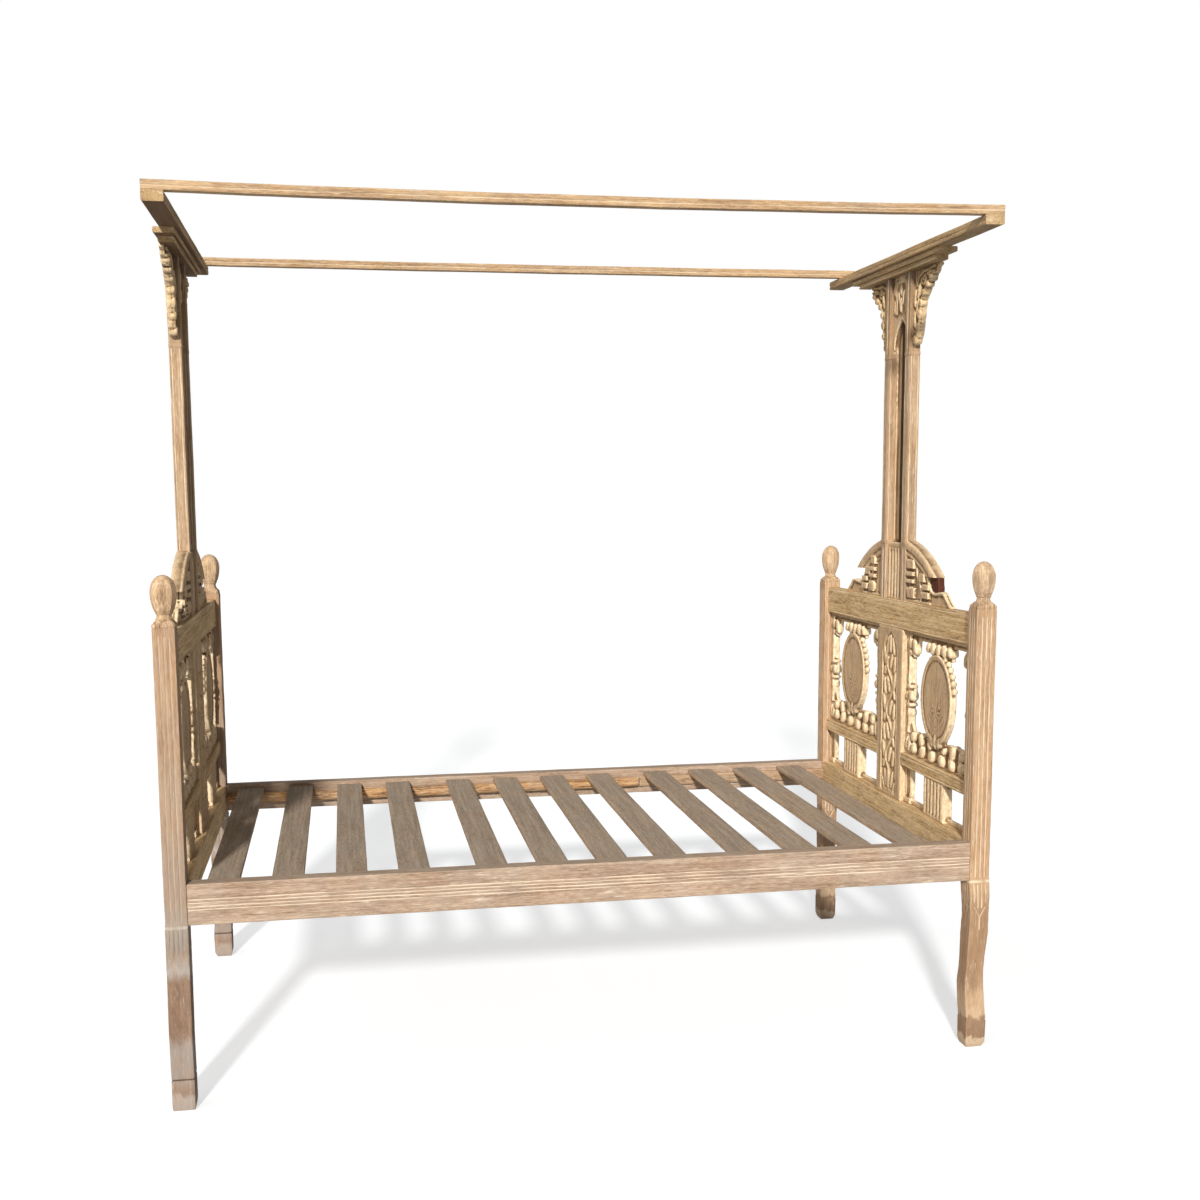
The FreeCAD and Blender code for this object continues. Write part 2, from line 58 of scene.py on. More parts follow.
def aim_camera():
    data = bpy.data.cameras.new("camera")
    data.sensor_width = 36.0
    data.lens = camera_lens
    data.shift_x, data.shift_y = camera_shift
    data.clip_start = 0.01
    ahead = Vector((
        math.sin(camera_yaw) * math.cos(camera_pitch),
        math.cos(camera_yaw) * math.cos(camera_pitch),
        -math.sin(camera_pitch)))
    level = Vector((math.cos(camera_yaw), -math.sin(camera_yaw), 0.0))
    down = ahead.cross(level)
    right = math.cos(camera_roll) * level + math.sin(camera_roll) * down
    up = math.sin(camera_roll) * level - math.cos(camera_roll) * down
    turn = Matrix((right, up, -ahead)).transposed()
    camera = bpy.data.objects.new("camera", data)
    camera.matrix_world = Matrix.Translation(camera_place) @ turn.to_4x4()
    bpy.context.scene.collection.objects.link(camera)
    bpy.context.scene.camera = camera


def add_sun(name, strength, softness, turn, height, colour):
    """A far light, turned to the left of the front and raised to a height, both in degrees."""
    data = bpy.data.lights.new(name, "SUN")
    data.energy = strength
    data.angle = math.radians(softness)
    data.color = colour
    turn, height = math.radians(turn), math.radians(height)
    toward = Vector((-math.sin(turn) * math.cos(height), -math.cos(turn) * math.cos(height),
                     math.sin(height)))
    light = bpy.data.objects.new(name, data)
    aim = toward.to_track_quat("Z", "Y").to_matrix().to_4x4()
    light.matrix_world = Matrix.Translation(2 * toward) @ aim
    bpy.context.scene.collection.objects.link(light)


class Graph:
    """Short way to build a node tree: each input is given a value or another node's socket."""

    def __init__(self, tree):
        self.tree = tree

    def feed(self, node, inputs):
        for name, value in inputs.items():
            if isinstance(value, bpy.types.NodeSocket):
                self.tree.links.new(value, node.inputs[name])
            else:
                node.inputs[name].default_value = value

    def add(self, kind, inputs=None, **settings):
        node = self.tree.nodes.new(kind)
        for name, value in settings.items():
            setattr(node, name, value)
        self.feed(node, inputs or {})
        return node


def lay_floor(side, glow):
    """Pale matt floor; glow lifts it towards the backdrop without lighting the bed."""
    mesh = bpy.data.meshes.new("floor")
    corners = [(-side, -side, 0), (side, -side, 0), (side, side, 0), (-side, side, 0)]
    mesh.from_pydata(corners, [], [(0, 1, 2, 3)])
    paint = bpy.data.materials.new("floor_paint")
    paint.use_nodes = True
    graph = Graph(paint.node_tree)
    seen = graph.add("ShaderNodeLightPath").outputs["Is Camera Ray"]
    lift = graph.add("ShaderNodeMath", {0: seen, 1: glow}, operation="MULTIPLY")
    graph.feed(graph.tree.nodes["Principled BSDF"], {
        "Base Color": (0.53, 0.56, 0.60, 1), "Roughness": 0.9, "Specular IOR Level": 0.1,
        "Emission Color": (1, 1, 1, 1), "Emission Strength": lift.outputs["Value"]})
    mesh.materials.append(paint)
    floor = bpy.data.objects.new("floor", mesh)
    bpy.context.scene.collection.objects.link(floor)


def light_the_room(fill, backdrop):
    """Even fill from all round; only the backdrop that is seen directly is near white."""
    world = bpy.data.worlds.new("studio")
    world.use_nodes = True
    graph = Graph(world.node_tree)
    nodes = graph.tree.nodes
    graph.feed(nodes["Background"], {"Color": (1.0, 0.975, 0.94, 1), "Strength": fill})
    plain = graph.add("ShaderNodeBackground", {"Color": (1.0, 1.0, 1.0, 1), "Strength": backdrop})
    either = graph.add("ShaderNodeMixShader", {
        0: graph.add("ShaderNodeLightPath").outputs["Is Camera Ray"],
        1: nodes["Background"].outputs["Background"], 2: plain.outputs["Background"]})
    graph.feed(nodes["World Output"], {"Surface": either.outputs["Shader"]})
    bpy.context.scene.world = world


bpy.context.scene.view_settings.view_transform = "Standard"
aim_camera()
lay_floor(6.0, 0.58)
light_the_room(0.21, 1.0)
add_sun("window", 3.95, 4.0, 15.0, 25.0, (1.0, 0.955, 0.885))
add_sun("side_glow", 1.25, 100.0, 75.0, 20.0, (1.0, 0.96, 0.90))

# ------------------------------------------------------------------ corner posts
# Square teak posts in one piece from foot to shoulder: reeded shafts, a fluted knee
# with a pointed apron, a slightly slimmer calf and a scored foot block. Bleached and
# limed by hand, so pale filler lies in every groove, and the feet are stained grey.
mm = 0.001
ends = ("left", "right")
corner_names = [(end, side) for end in ends for side in ("front", "back")]
sign = {"left": -1, "right": 1, "front": -1, "back": 1}
post_reeds = 4
post_groove_width = 0.9 * mm
post_groove_depth = 0.42 * mm
post_arris = 0.7 * mm
knee_top = 109.0 * mm
knee_bottom = 93.0 * mm
foot_line = 18.5 * mm
points_per_face = 37


def limed_wood(name, grain, deep, mid, pale, lime_and_shade_tone, lime_and_shade_share, grey_share=0.0, top_grey=0.0,
               stains=(), scored=0.0, streak=1.0, relief=0.35, worn_and_lit_tone=None, worn_and_lit_share=0.45,
               cut_axis=None, under_shade=0.0):
    """Weathered, limed wood. grain is the axis (0, 1, 2) that the fibres run along.

    The colours run from deep in the open pores to pale on the worn fibres. A further colour
    fills the hollows and some of the grain: the pale filler of the limed finish on most woods,
    and on the carving a dark brown that is painted shade in the recesses. Another gives the
    worn tone of the crowns and arrises. The shares say how strongly each one covers. stains
    lists stains from the floor up: height in mm, colour, how far it covers. On carving,
    cut_axis is the way the board faces: the side walls, which face other ways, are painted
    paler, partly bleach and partly a painted highlight where the light falls on them. Faces
    turned downwards can be given painted shade."""
    material = bpy.data.materials.new(name)
    material.use_nodes = True
    graph = Graph(material.node_tree)
    shader = graph.tree.nodes["Principled BSDF"]
    place = graph.add("ShaderNodeTexCoord")

    def stretched(along, offset):
        scale = [1.0] * 3
        scale[grain] = along
        return graph.add("ShaderNodeMapping", {
            "Scale": scale, "Location": offset, "Vector": place.outputs["Object"]}).outputs["Vector"]

    def noise(vector, scale, detail, roughness=0.55):
        return graph.add("ShaderNodeTexNoise", {
            "Scale": scale, "Detail": detail, "Roughness": roughness, "Vector": vector}).outputs["Fac"]

    def spread(value, low, high, out_low=0.0, out_high=1.0):
        return graph.add("ShaderNodeMapRange", {
            "From Min": low, "From Max": high, "To Min": out_low, "To Max": out_high,
            "Value": value}).outputs["Result"]

    def sums(operation, first, second):
        clamp = operation == "ADD" and not isinstance(second, float)
        return graph.add("ShaderNodeMath", {0: first, 1: second}, operation=operation,
                         use_clamp=clamp).outputs["Value"]

    def times(first, second):
        return sums("MULTIPLY", first, second)

    def mixed(share, first, second):
        first, second = ((*tone, 1.0) if isinstance(tone, tuple) else tone for tone in (first, second))
        return graph.add("ShaderNodeMix", {"Factor": share, "A": first, "B": second},
                         data_type="RGBA").outputs["Result"]

    def ramp(value, stops):
        node = graph.add("ShaderNodeValToRGB", {"Fac": value})
        elements = node.color_ramp.elements
        while len(elements) < len(stops):
            elements.new(0.5)
        for element, (at, tone, share) in zip(elements, stops):
            element.position = at
            element.color = (*tone, share)
        return node.outputs

    def part_of(vector, axis):
        return graph.add("ShaderNodeSeparateXYZ", {"Vector": place.outputs[vector]}).outputs[axis]

    fibres = noise(stretched(0.10, (0.3, 0.1, 0.7)), 1700.0, 4.0, 0.75)
    rings = noise(stretched(0.035, (0.0, 0.4, 0.2)), 560.0, 3.0, 0.6)
    bands = noise(stretched(0.22, (0.5, 0.2, 0.9)), 120.0, 3.0, 0.55)
    blotches = noise(place.outputs["Object"], 38.0, 3.0, 0.6)

    figure = sums("ADD", times(spread(rings, 0.3, 0.7), 0.36), times(spread(fibres, 0.27, 0.73), 0.64))
    figure = sums("ADD", figure, spread(bands, 0.3, 0.7, -0.10, 0.10))
    colour = ramp(figure, [(0.5 - 0.42 * streak, deep, 1), (0.5 - 0.05 * streak, mid, 1),
                           (0.5 + 0.36 * streak, pale, 1)])["Color"]
    if grey_share > 0:
        colour = mixed(times(spread(blotches, 0.35, 0.7), grey_share), colour, (0.30, 0.27, 0.23))

    if stains:
        height = part_of("Object", "Z")
        cloud = noise(stretched(0.45, (0.2, 0.8, 0.5)), 210.0, 6.0, 0.75)
        uneven = sums("ADD", spread(cloud, 0.3, 0.7, -0.004, 0.004), height)
        top = stains[-1][0]
        stain = ramp(spread(uneven, 0.0, top * mm), [(at / top, tone, share) for at, tone, share in stains])
        cover = times(stain["Alpha"], spread(cloud, 0.36, 0.56, 0.62, 1.0))
        cover = times(cover, spread(fibres, 0.36, 0.58, 0.60, 1.0))
        colour = mixed(cover, colour, stain["Color"])
        # a knife line scored round the foot
        off_line = sums("ABSOLUTE", sums("SUBTRACT", height, foot_line), 0.0)
        colour = mixed(spread(off_line, 0.0007, 0.0003, 0.0, scored), colour, (0.06, 0.035, 0.02))

    # lime in the hollows and along some of the open grain; on the carving the hollows take a dark brown
    # instead, which is painted shade in the recesses
    hollow = graph.add("ShaderNodeAttribute", attribute_name="hollow").outputs["Fac"]
    deep_part = spread(hollow, *((0.12, 0.75) if cut_axis is None else (0.03, 0.38)))
    patchy = spread(noise(stretched(0.4, (0.9, 0.6, 0.1)), 160.0, 3.0), 0.30, 0.62)
    hollow_lime_and_shade = times(deep_part, sums("ADD", patchy, 0.25))
    open_grain = noise(stretched(0.09, (0.7, 0.9, 0.3)), 1150.0, 3.0, 0.65)
    in_grain = times(spread(open_grain, 0.56, 0.72), spread(blotches, 0.32, 0.60))
    lime_and_hollow_shade = times(sums("ADD", hollow_lime_and_shade, times(in_grain, 0.8)), lime_and_shade_share)
    colour = mixed(lime_and_hollow_shade, colour, lime_and_shade_tone)

    # the arrises and the crowns of the carving are rubbed paler; on carving the side walls of the relief
    # are painted paler as well, partly bleach and partly a painted highlight where the light falls on them
    worn_crowns_and_lit_walls = spread(hollow, -0.15, -0.8)
    if cut_axis is None:
        worn_crowns_and_lit_walls = times(worn_crowns_and_lit_walls, sums("ADD", patchy, 0.4))
    else:
        bleached_and_lit_walls = spread(sums("ABSOLUTE", part_of("Normal", cut_axis), 0.0), 0.88, 0.40, 0.0, 0.85)
        worn_crowns_and_lit_walls = sums("ADD", times(bleached_and_lit_walls, spread(hollow, 0.5, -0.2)), times(worn_crowns_and_lit_walls, 0.3))
        speck = noise(stretched(0.5, (0.1, 0.3, 0.8)), 520.0, 4.0, 0.7)
        worn_crowns_and_lit_walls = times(worn_crowns_and_lit_walls, spread(speck, 0.40, 0.58, 0.30, 1.0))
    colour = mixed(times(worn_crowns_and_lit_walls, worn_and_lit_share), colour, worn_and_lit_tone or pale)

    # painted shade: the faces turned downwards are darkened towards the deep tone
    if under_shade > 0:
        colour = mixed(spread(part_of("Normal", "Z"), -0.5, -0.9, 0.0, under_shade), colour, deep)
    if top_grey > 0:
        dirt = times(spread(part_of("Normal", "Z"), 0.5, 0.9),
                     spread(blotches, 0.3, 0.65, top_grey * 0.7, top_grey))
        weathered = sums("ADD", times(fibres, 0.6), times(rings, 0.4))
        dusty = mixed(spread(weathered, 0.30, 0.68), (0.18, 0.145, 0.112), (0.475, 0.40, 0.325))
        colour = mixed(dirt, colour, dusty)

    grain_height = sums("ADD", times(fibres, 0.6), times(rings, 0.5))
    bump = graph.add("ShaderNodeBump", {"Strength": relief, "Distance": 0.0004, "Height": grain_height})
    graph.feed(shader, {"Base Color": colour, "Specular IOR Level": 0.25,
                        "Roughness": spread(figure, 0.0, 1.0, 0.88, 0.70),
                        "Normal": bump.outputs["Normal"]})
    return material


def sway(at, seed, size, lengths=(0.11, 0.047, 0.019)):
    """Slow, repeatable wander of a hand-planed edge at a distance along the piece."""
    total = 0.0
    for number, length in enumerate(lengths):
        phase = 1.7 * seed + 2.3 * number + 0.9 * seed * number
        total = total + np.sin(2 * math.pi * at / length + phase) / (number + 1.0)
    return total * size / 1.8


def square_ring(half_a, half_b, arris, grooves, per_face=points_per_face):
    """Outline of a squared stick, with a list of grooves cut into each face.

    A groove is (face, middle, width, depth); faces are counted -b, +a, +b, -a.
    Gives the points and how deep in a groove each one lies, from 0 to 1."""
    points, hollows = [], []
    turns = ((1, 0, 0, -1), (0, 1, 1, 0), (-1, 0, 0, 1), (0, -1, -1, 0))
    for face, (along_a, along_b, out_a, out_b) in enumerate(turns):
        reach, out = (half_a, half_b) if face % 2 == 0 else (half_b, half_a)
        flat = np.linspace(-(reach - arris), reach - arris, per_face)
        sunk = np.zeros(per_face)
        shade = np.zeros(per_face)
        for which, middle, width, depth in grooves:
            if which == face and depth > 0:
                away = np.clip(np.abs(flat - middle) / (width / 2), 0, 1)
                dip = np.cos(away * math.pi / 2) ** 1.5
                sunk = np.maximum(sunk, depth * dip)
                shade = np.maximum(shade, dip)
        for step, drop, tone in zip(flat, sunk, shade):
            a = along_a * step + out_a * (out - drop)
            b = along_b * step + out_b * (out - drop)
            points.append((a, b))
            hollows.append(tone)
        # a worn corner between this face and the next
        corner = reach - arris * 0.3
        rise = out - arris * 0.3
        points.append((along_a * corner + out_a * rise, along_b * corner + out_b * rise))
        hollows.append(-0.6)
    return np.array(points), np.array(hollows)


def smoothed(mesh):
    """Round surfaces shaded smooth, with crisp corners."""
    mesh.shade_smooth()
    mesh.set_sharp_from_angle(angle=math.radians(38))
    return mesh


def closed_mesh(name, verts, faces, hollows):
    """Mesh with outward faces and a note of how hollow each point is."""
    mesh = bpy.data.meshes.new(name)
    mesh.from_pydata(verts, [], faces)
    tone = mesh.attributes.new("hollow", "FLOAT", "POINT")
    tone.data.foreach_set("value", np.asarray(hollows, np.float32))
    turned = bmesh.new()
    turned.from_mesh(mesh)
    bmesh.ops.recalc_face_normals(turned, faces=turned.faces)
    turned.to_mesh(mesh)
    turned.free()
    return smoothed(mesh)


def tube_faces(count, levels, closed=False):
    """Faces of a tube of so many rings of count points, capped unless it closes on itself."""
    faces = []
    for level in range(levels if closed else levels - 1):
        low, high = level * count, (level + 1) % levels * count
        for step in range(count):
            after = (step + 1) % count
            faces.append((low + step, low + after, high + after, high + step))
    if not closed:
        faces.append(tuple(reversed(range(count))))
        faces.append(tuple(range((levels - 1) * count, levels * count)))
    return faces


def mesh_from_rings(name, rings, hollows, place):
    """Skin over a row of outlines. place turns (a, b, ring number) into a point."""
    verts = [tuple(place(a, b, number)) for number, ring in enumerate(rings) for a, b in ring]
    return closed_mesh(name, verts, tube_faces(len(rings[0]), len(rings)), np.concatenate(hollows))


def circle(count):
    """Points of a unit circle."""
    turns = np.linspace(0, 2 * math.pi, count, endpoint=False)
    return np.stack([np.cos(turns), np.sin(turns)], 1)


def put(name, mesh, material, body, nodes):
    """Finish one piece: its material, the body it moves with and the nodes it stands for."""
    mesh.materials.clear()
    mesh.materials.append(material)
    piece = bpy.data.objects.new(name, mesh)
    bpy.context.scene.collection.objects.link(piece)
    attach(piece, body)
    if nodes:
        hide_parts(*nodes)
    return piece


tan_deep = (0.24, 0.13, 0.065)
tan_mid = (0.44, 0.275, 0.155)
tan_pale = (0.62, 0.42, 0.26)
lime_cream = (0.83, 0.71, 0.53)
# stains of the legs from the floor up: height in mm, colour, how far it covers
brown_leg = [
    (0, (0.56, 0.44, 0.32), 0.85), (6.5, (0.58, 0.46, 0.33), 0.85), (8.5, (0.19, 0.12, 0.078), 0.9),
    (19.0, (0.20, 0.125, 0.08), 0.9), (21.0, (0.58, 0.43, 0.29), 0.7), (34, (0.48, 0.34, 0.22), 0.5),
    (42, (0.25, 0.145, 0.082), 0.7), (88, (0.25, 0.14, 0.078), 0.7), (100, (0.30, 0.18, 0.10), 0.5),
    (112, (0.5, 0.35, 0.2), 0.0)]
chalky_leg = [
    (0, (0.33, 0.305, 0.285), 0.95), (8, (0.34, 0.31, 0.29), 0.9), (12, (0.20, 0.14, 0.11), 0.9),
    (20, (0.26, 0.235, 0.22), 0.9), (38, (0.28, 0.255, 0.235), 0.95), (46, (0.165, 0.10, 0.07), 0.9),
    (76, (0.135, 0.082, 0.06), 0.9), (84, (0.37, 0.35, 0.335), 0.95), (92, (0.22, 0.19, 0.165), 0.95),
    (106, (0.30, 0.27, 0.24), 0.95), (122, (0.28, 0.235, 0.20), 0.8), (180, (0.32, 0.24, 0.18), 0.55),
    (235, (0.42, 0.26, 0.15), 0.2)]
post_wood = limed_wood("post_teak", 2, tan_deep, tan_mid, tan_pale, lime_cream, 0.7,
                       grey_share=0.22, stains=brown_leg)
stained_post_wood = limed_wood("stained_post_teak", 2, (0.21, 0.11, 0.06), (0.40, 0.245, 0.145),
                               (0.54, 0.39, 0.26), (0.60, 0.54, 0.46), 0.55,
                               grey_share=0.3, stains=chalky_leg, scored=0.85)

# half width along the post, as shares of the full half width
post_outline = [
    (0.0, 0.95), (1.6, 1.0), (3.5, 1.03), (17.6, 1.03), (18.1, 0.985), (18.7, 0.985),
    (19.2, 1.02), (90.0, 1.02), (107.6, 1.025), (108.2, 0.985), (109.0, 1.02), (110.2, 1.02),
    (110.8, 0.985), (276.0, 0.985), (278.6, 0.985), (280.0, 0.95)]
# how far the leg's outer and inner sides swing outwards, by height: an easy S curve
outer_swing = [(0, -1.5), (3, -0.3), (7, 0.75), (13, 0.6), (20, -0.1), (30, -0.85), (40, -1.45),
               (50, -1.7), (60, -1.2), (75, 0.0), (90, 0.1), (100, 0.35), (107, 0.0)]
inner_swing = [(0, 0.6), (4, -0.1), (20, -0.1), (31, -0.75), (40, -1.1), (51, -0.3), (60, -0.1),
               (73, 0.0), (85, 0.55), (95, 0.2), (107, -0.5)]
# the front left leg is nearly straight, and the lime is mostly worn off the left knees
leg_swing = {("left", "front"): -0.1}
knee_lime_share = {"left": 0.35, "right": 0.8}
shaft_low, shaft_high = 111.5 * mm, 275 * mm


def post_mesh(name, low, high, seed, out_x, out_y, swing, knee_lime):
    """Post whose leg swings by a share towards out_x and out_y (-1 or 1)."""
    centre = (low + high) / 2
    half = (high.x - low.x) / 2
    levels = {z * mm for z, _ in post_outline} | set(np.linspace(knee_bottom, knee_top, 13))
    for start, stop, count in ((20, 76, 15), (77, 92, 19), (112, 274, 34)):
        levels |= set(np.linspace(start * mm, stop * mm, count))
    levels = sorted(levels)
    share = np.interp(levels, [z * mm for z, _ in post_outline], [w for _, w in post_outline])
    pitch = 2 * (half - post_arris) / post_reeds
    rings, hollows = [], []
    for z, part in zip(levels, share):
        grooves = []
        if shaft_low < z < shaft_high:
            fade = min(1.0, (z - shaft_low) / (2 * mm), (shaft_high - z) / (4 * mm))
            for face in range(4):
                for line in range(post_reeds - 1):
                    middle = (line - (post_reeds - 2) / 2) * pitch
                    wander = sway(z, seed + line + 3 * face, 0.10 * mm)
                    depth = post_groove_depth * fade * (1 + 0.35 * math.sin(41 * line + 90 * z + seed))
                    grooves.append((face, middle + wander, post_groove_width, depth))
        elif knee_bottom - 16 * mm < z < knee_top - 1.5 * mm:
            # a forked tail under the flutes, worn away on the left legs
            fork = knee_bottom - 7.5 * mm
            for face in range(4 if out_x > 0 else 0):
                if z < fork:
                    fade = max(0.0, 1 - (fork - z) / (9 * mm))
                    grooves.append((face, 0.0, 1.3 * mm, 0.7 * mm * fade))
                elif z < knee_bottom:
                    for way in (-1, 1):
                        grooves.append((face, way * 0.55 * (z - fork), 1.2 * mm, 0.55 * mm))
            # four flutes whose feet step down to a point in the middle
            for face in range(4):
                for line in range(4):
                    middle = (line - 1.5) * pitch * 0.86
                    foot = knee_bottom - 3 * mm + abs(line - 1.5) * 3.4 * mm
                    fade = min(1.0, max(0.0, (z - foot) / (2.5 * mm)))
                    grooves.append((face, middle, 1.3 * mm, 0.55 * mm * fade))
        ring, tone = square_ring(half * part, half * part, post_arris, grooves)
        if z < knee_top - 1.5 * mm:
            tone = tone * knee_lime
        if 107.8 * mm < z < 109.4 * mm:
            # lime caught in the step under the shaft
            tone = np.maximum(tone, 0.8)
        rough = 0.035 * mm
        ring = ring * (1 + rough / half * np.sin(900 * z + 7 * np.arange(len(ring)))[:, None])
        rings.append(ring)
        hollows.append(tone)

    def swung(offset, out, z):
        share = (offset * out / half + 1) / 2
        outer = np.interp(z / mm, *zip(*outer_swing))
        inner = np.interp(z / mm, *zip(*inner_swing))
        return offset + out * swing * mm * (inner * (1 - share) + outer * share)

    def place(a, b, number):
        z = levels[number]
        lean = 0.12 * mm * min(1.0, z / (60 * mm))
        return (centre.x + swung(a, out_x, z) + sway(z, seed, lean),
                centre.y + swung(b, out_y, z) + sway(z, seed + 5, lean), z)

    return mesh_from_rings(name, rings, hollows, place)


for number, (end, side) in enumerate(corner_names):
    node = f"post_{side}_{end}"
    low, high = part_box(node)
    wood = stained_post_wood if end == "left" else post_wood
    mesh = post_mesh(node, low, high, number + 1, sign[end], sign[side],
                     leg_swing.get((end, side), 1.0), knee_lime_share[end])
    put("corner_" + node, mesh, wood, "root", [node])

# ------------------------------------------------------------------ acorn finials
# Turned acorns of the same teak, each on a square cushion with a narrow collar and
# glued into the top of its post. Worn smooth, with a joint line under the nut.
acorn_turning = [
    (4.5, 3.6), (4.7, 4.2), (4.5, 4.9), (4.2, 5.6), (4.1, 6.4), (4.4, 7.2), (4.9, 7.7), (4.8, 8.2),
    (5.2, 8.9), (5.85, 10.6), (6.5, 13.0), (7.0, 16.0), (7.15, 18.8), (7.0, 21.3), (6.4, 23.7),
    (5.5, 25.6), (4.3, 27.1), (2.9, 28.2), (1.3, 28.85), (0.5, 28.95)]
acorn_seam = 8.2
cushion_profile = [(6.35, 0.0), (6.45, 0.5), (6.45, 1.5), (6.0, 2.1), (5.2, 3.0), (4.3, 4.0)]
acorn_flats = 8
around = 64


def finial_mesh(name, centre, foot, seed):
    rings, hollows, heights = [], [], []
    spots = np.linspace(0, 2 * math.pi, around, endpoint=False)
    # cut by hand, so the round is made of slightly uneven flats
    away = (spots * acorn_flats / (2 * math.pi)) % 1.0 - 0.5
    flat = math.cos(math.pi / acorn_flats) / np.cos(away * 2 * math.pi / acorn_flats)
    facet = (1.03 * flat * (1 + 0.012 * np.sin(3 * spots + seed)))[:, None]
    for half, height in cushion_profile:
        # square with its corners taken off
        radius = half * mm / np.abs(circle(around)).max(1, keepdims=True)
        rings.append(np.minimum(radius, half * mm * 1.33) * circle(around))
        hollows.append(np.full(around, 0.0))
        heights.append(foot + height * mm)
    for radius, height in acorn_turning:
        rings.append(radius * mm * facet * circle(around))
        hollows.append(np.full(around, 0.35 if height == acorn_seam else -0.45))
        heights.append(foot + height * mm)
    lean = 0.012 * math.sin(3 * seed)

    def place(a, b, number):
        rise = heights[number] - foot
        return (centre.x + a + lean * rise, centre.y + b, heights[number])

    return mesh_from_rings(name, rings, hollows, place)


finial_wood = limed_wood("finial_teak", 2, (0.15, 0.078, 0.038), (0.44, 0.28, 0.155),
                         (0.70, 0.51, 0.33), lime_cream, 0.85, grey_share=0.3, streak=0.62)
for number, (end, side) in enumerate(corner_names):
    node = f"finial_{side}_{end}"
    low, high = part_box(node)
    top_of_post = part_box(f"post_{side}_{end}")[1].z
    mesh = finial_mesh(node, (low + high) / 2, top_of_post, number + 2)
    put("acorn_" + node, mesh, finial_wood, "root", [node])

# ------------------------------------------------------------------ side rails
# Two long rails tenoned into the posts. The outer face carries a band of four fine
# reeds scratched along the middle with a scratch stock. The back rail is shallower.
rail_step = 6.0 * mm
rail_groove_pitch = 2.0 * mm
rail_wood = limed_wood("rail_teak", 0, (0.19, 0.11, 0.068), (0.375, 0.255, 0.175),
                       (0.55, 0.42, 0.32), (0.78, 0.67, 0.53), 0.9, grey_share=0.35, top_grey=0.45,
                       streak=0.85)


def joined(name, meshes):
    """Several loose meshes as one piece."""
    whole = bmesh.new()
    for mesh in meshes:
        whole.from_mesh(mesh)
        bpy.data.meshes.remove(mesh)
    result = bpy.data.meshes.new(name)
    whole.to_mesh(result)
    whole.free()
    result.set_sharp_from_angle(angle=math.radians(38))
    return result


def stick(name, low, high, axis, seed, grooves, sag=0.0, arris=0.6 * mm, wander=0.10 * mm,
          per_face=13, step=rail_step):
    """Hand-planed stick along an axis (0, 1, 2) between two corners, grooved along it.

    The faces that grooves name are, for a stick along X: down, back, up and front."""
    first, second = [other for other in range(3) if other != axis]
    half_a, half_b = (high[first] - low[first]) / 2, (high[second] - low[second]) / 2
    centre = (low + high) / 2
    count = max(3, int((high[axis] - low[axis]) / step))
    stations = np.linspace(low[axis], high[axis], count)
    rings, hollows = [], []
    for at in stations:
        moved = [(face, middle + sway(at, seed + face, 0.08 * mm), width,
                  depth * (1 + 0.3 * math.sin(60 * at + 11 * middle / mm)))
                 for face, middle, width, depth in grooves]
        ring, tone = square_ring(half_a - abs(sway(at, seed, wander * 0.5)),
                                 half_b - abs(sway(at, seed + 9, wander * 0.5)),
                                 arris, moved, per_face)
        rings.append(ring)
        hollows.append(tone)

    def place(a, b, number):
        at = stations[number]
        share = (at - low[axis]) / (high[axis] - low[axis])
        point = [0.0, 0.0, 0.0]
        point[axis] = at
        point[first] = centre[first] + a + sway(at, seed + 2, wander)
        point[second] = centre[second] + b + sway(at, seed + 4, wander) - sag * 4 * share * (1 - share)
        return tuple(point)

    return mesh_from_rings(name, rings, hollows, place)


def between_posts(low, high):
    """The seen length of a rail along the bed, without its tenons."""
    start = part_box("post_front_left")[1].x
    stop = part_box("post_front_right")[0].x
    return Vector((start, low.y, low.z)), Vector((stop, high.y, high.z))


for side, out_face in (("front", 3), ("back", 1)):
    low, high = between_posts(*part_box("side_rail_" + side))
    reeds = [(out_face, (line - 1.5) * rail_groove_pitch, 1.05 * mm, 0.55 * mm)
             for line in range(4)]
    mesh = stick("side_rail_" + side, low, high, 0, 3 + sign[side], reeds, per_face=97)
    put("reeded_rail_" + side, mesh, rail_wood, "root", ["side_rail_" + side])

# ------------------------------------------------------------------ ledgers
# Sticks pinned inside the side rails under the slat ends: a sawn batten in front, and
# at the back a peeled round pole that stops short, carried on by a thin cleat.
ledger_wood = limed_wood("ledger_wood", 0, (0.13, 0.068, 0.032), (0.36, 0.225, 0.13),
                         (0.62, 0.44, 0.27), lime_cream, 0.7, grey_share=0.2)


def round_pole(name, start, stop, middle, seed):
    radius = 4.0 * mm
    stations = np.linspace(start, stop, 44)
    rings = []
    for x in stations:
        worn_end = 0.5 * mm if x in (stations[0], stations[-1]) else 0
        ring = (radius + sway(x, seed, 0.25 * mm) - worn_end) * circle(28)
        ring[:, 1] = np.minimum(ring[:, 1], radius)
        rings.append(ring)

    def place(a, b, number):
        return (stations[number], middle.y + a, middle.z + b)

    return mesh_from_rings(name, rings, [np.zeros(28)] * len(rings), place)


low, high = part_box("ledger_front")
put("front_ledger_batten", stick("ledger_front", low, high, 0, 6, [], per_face=7),
    ledger_wood, "root", ["ledger_front"])

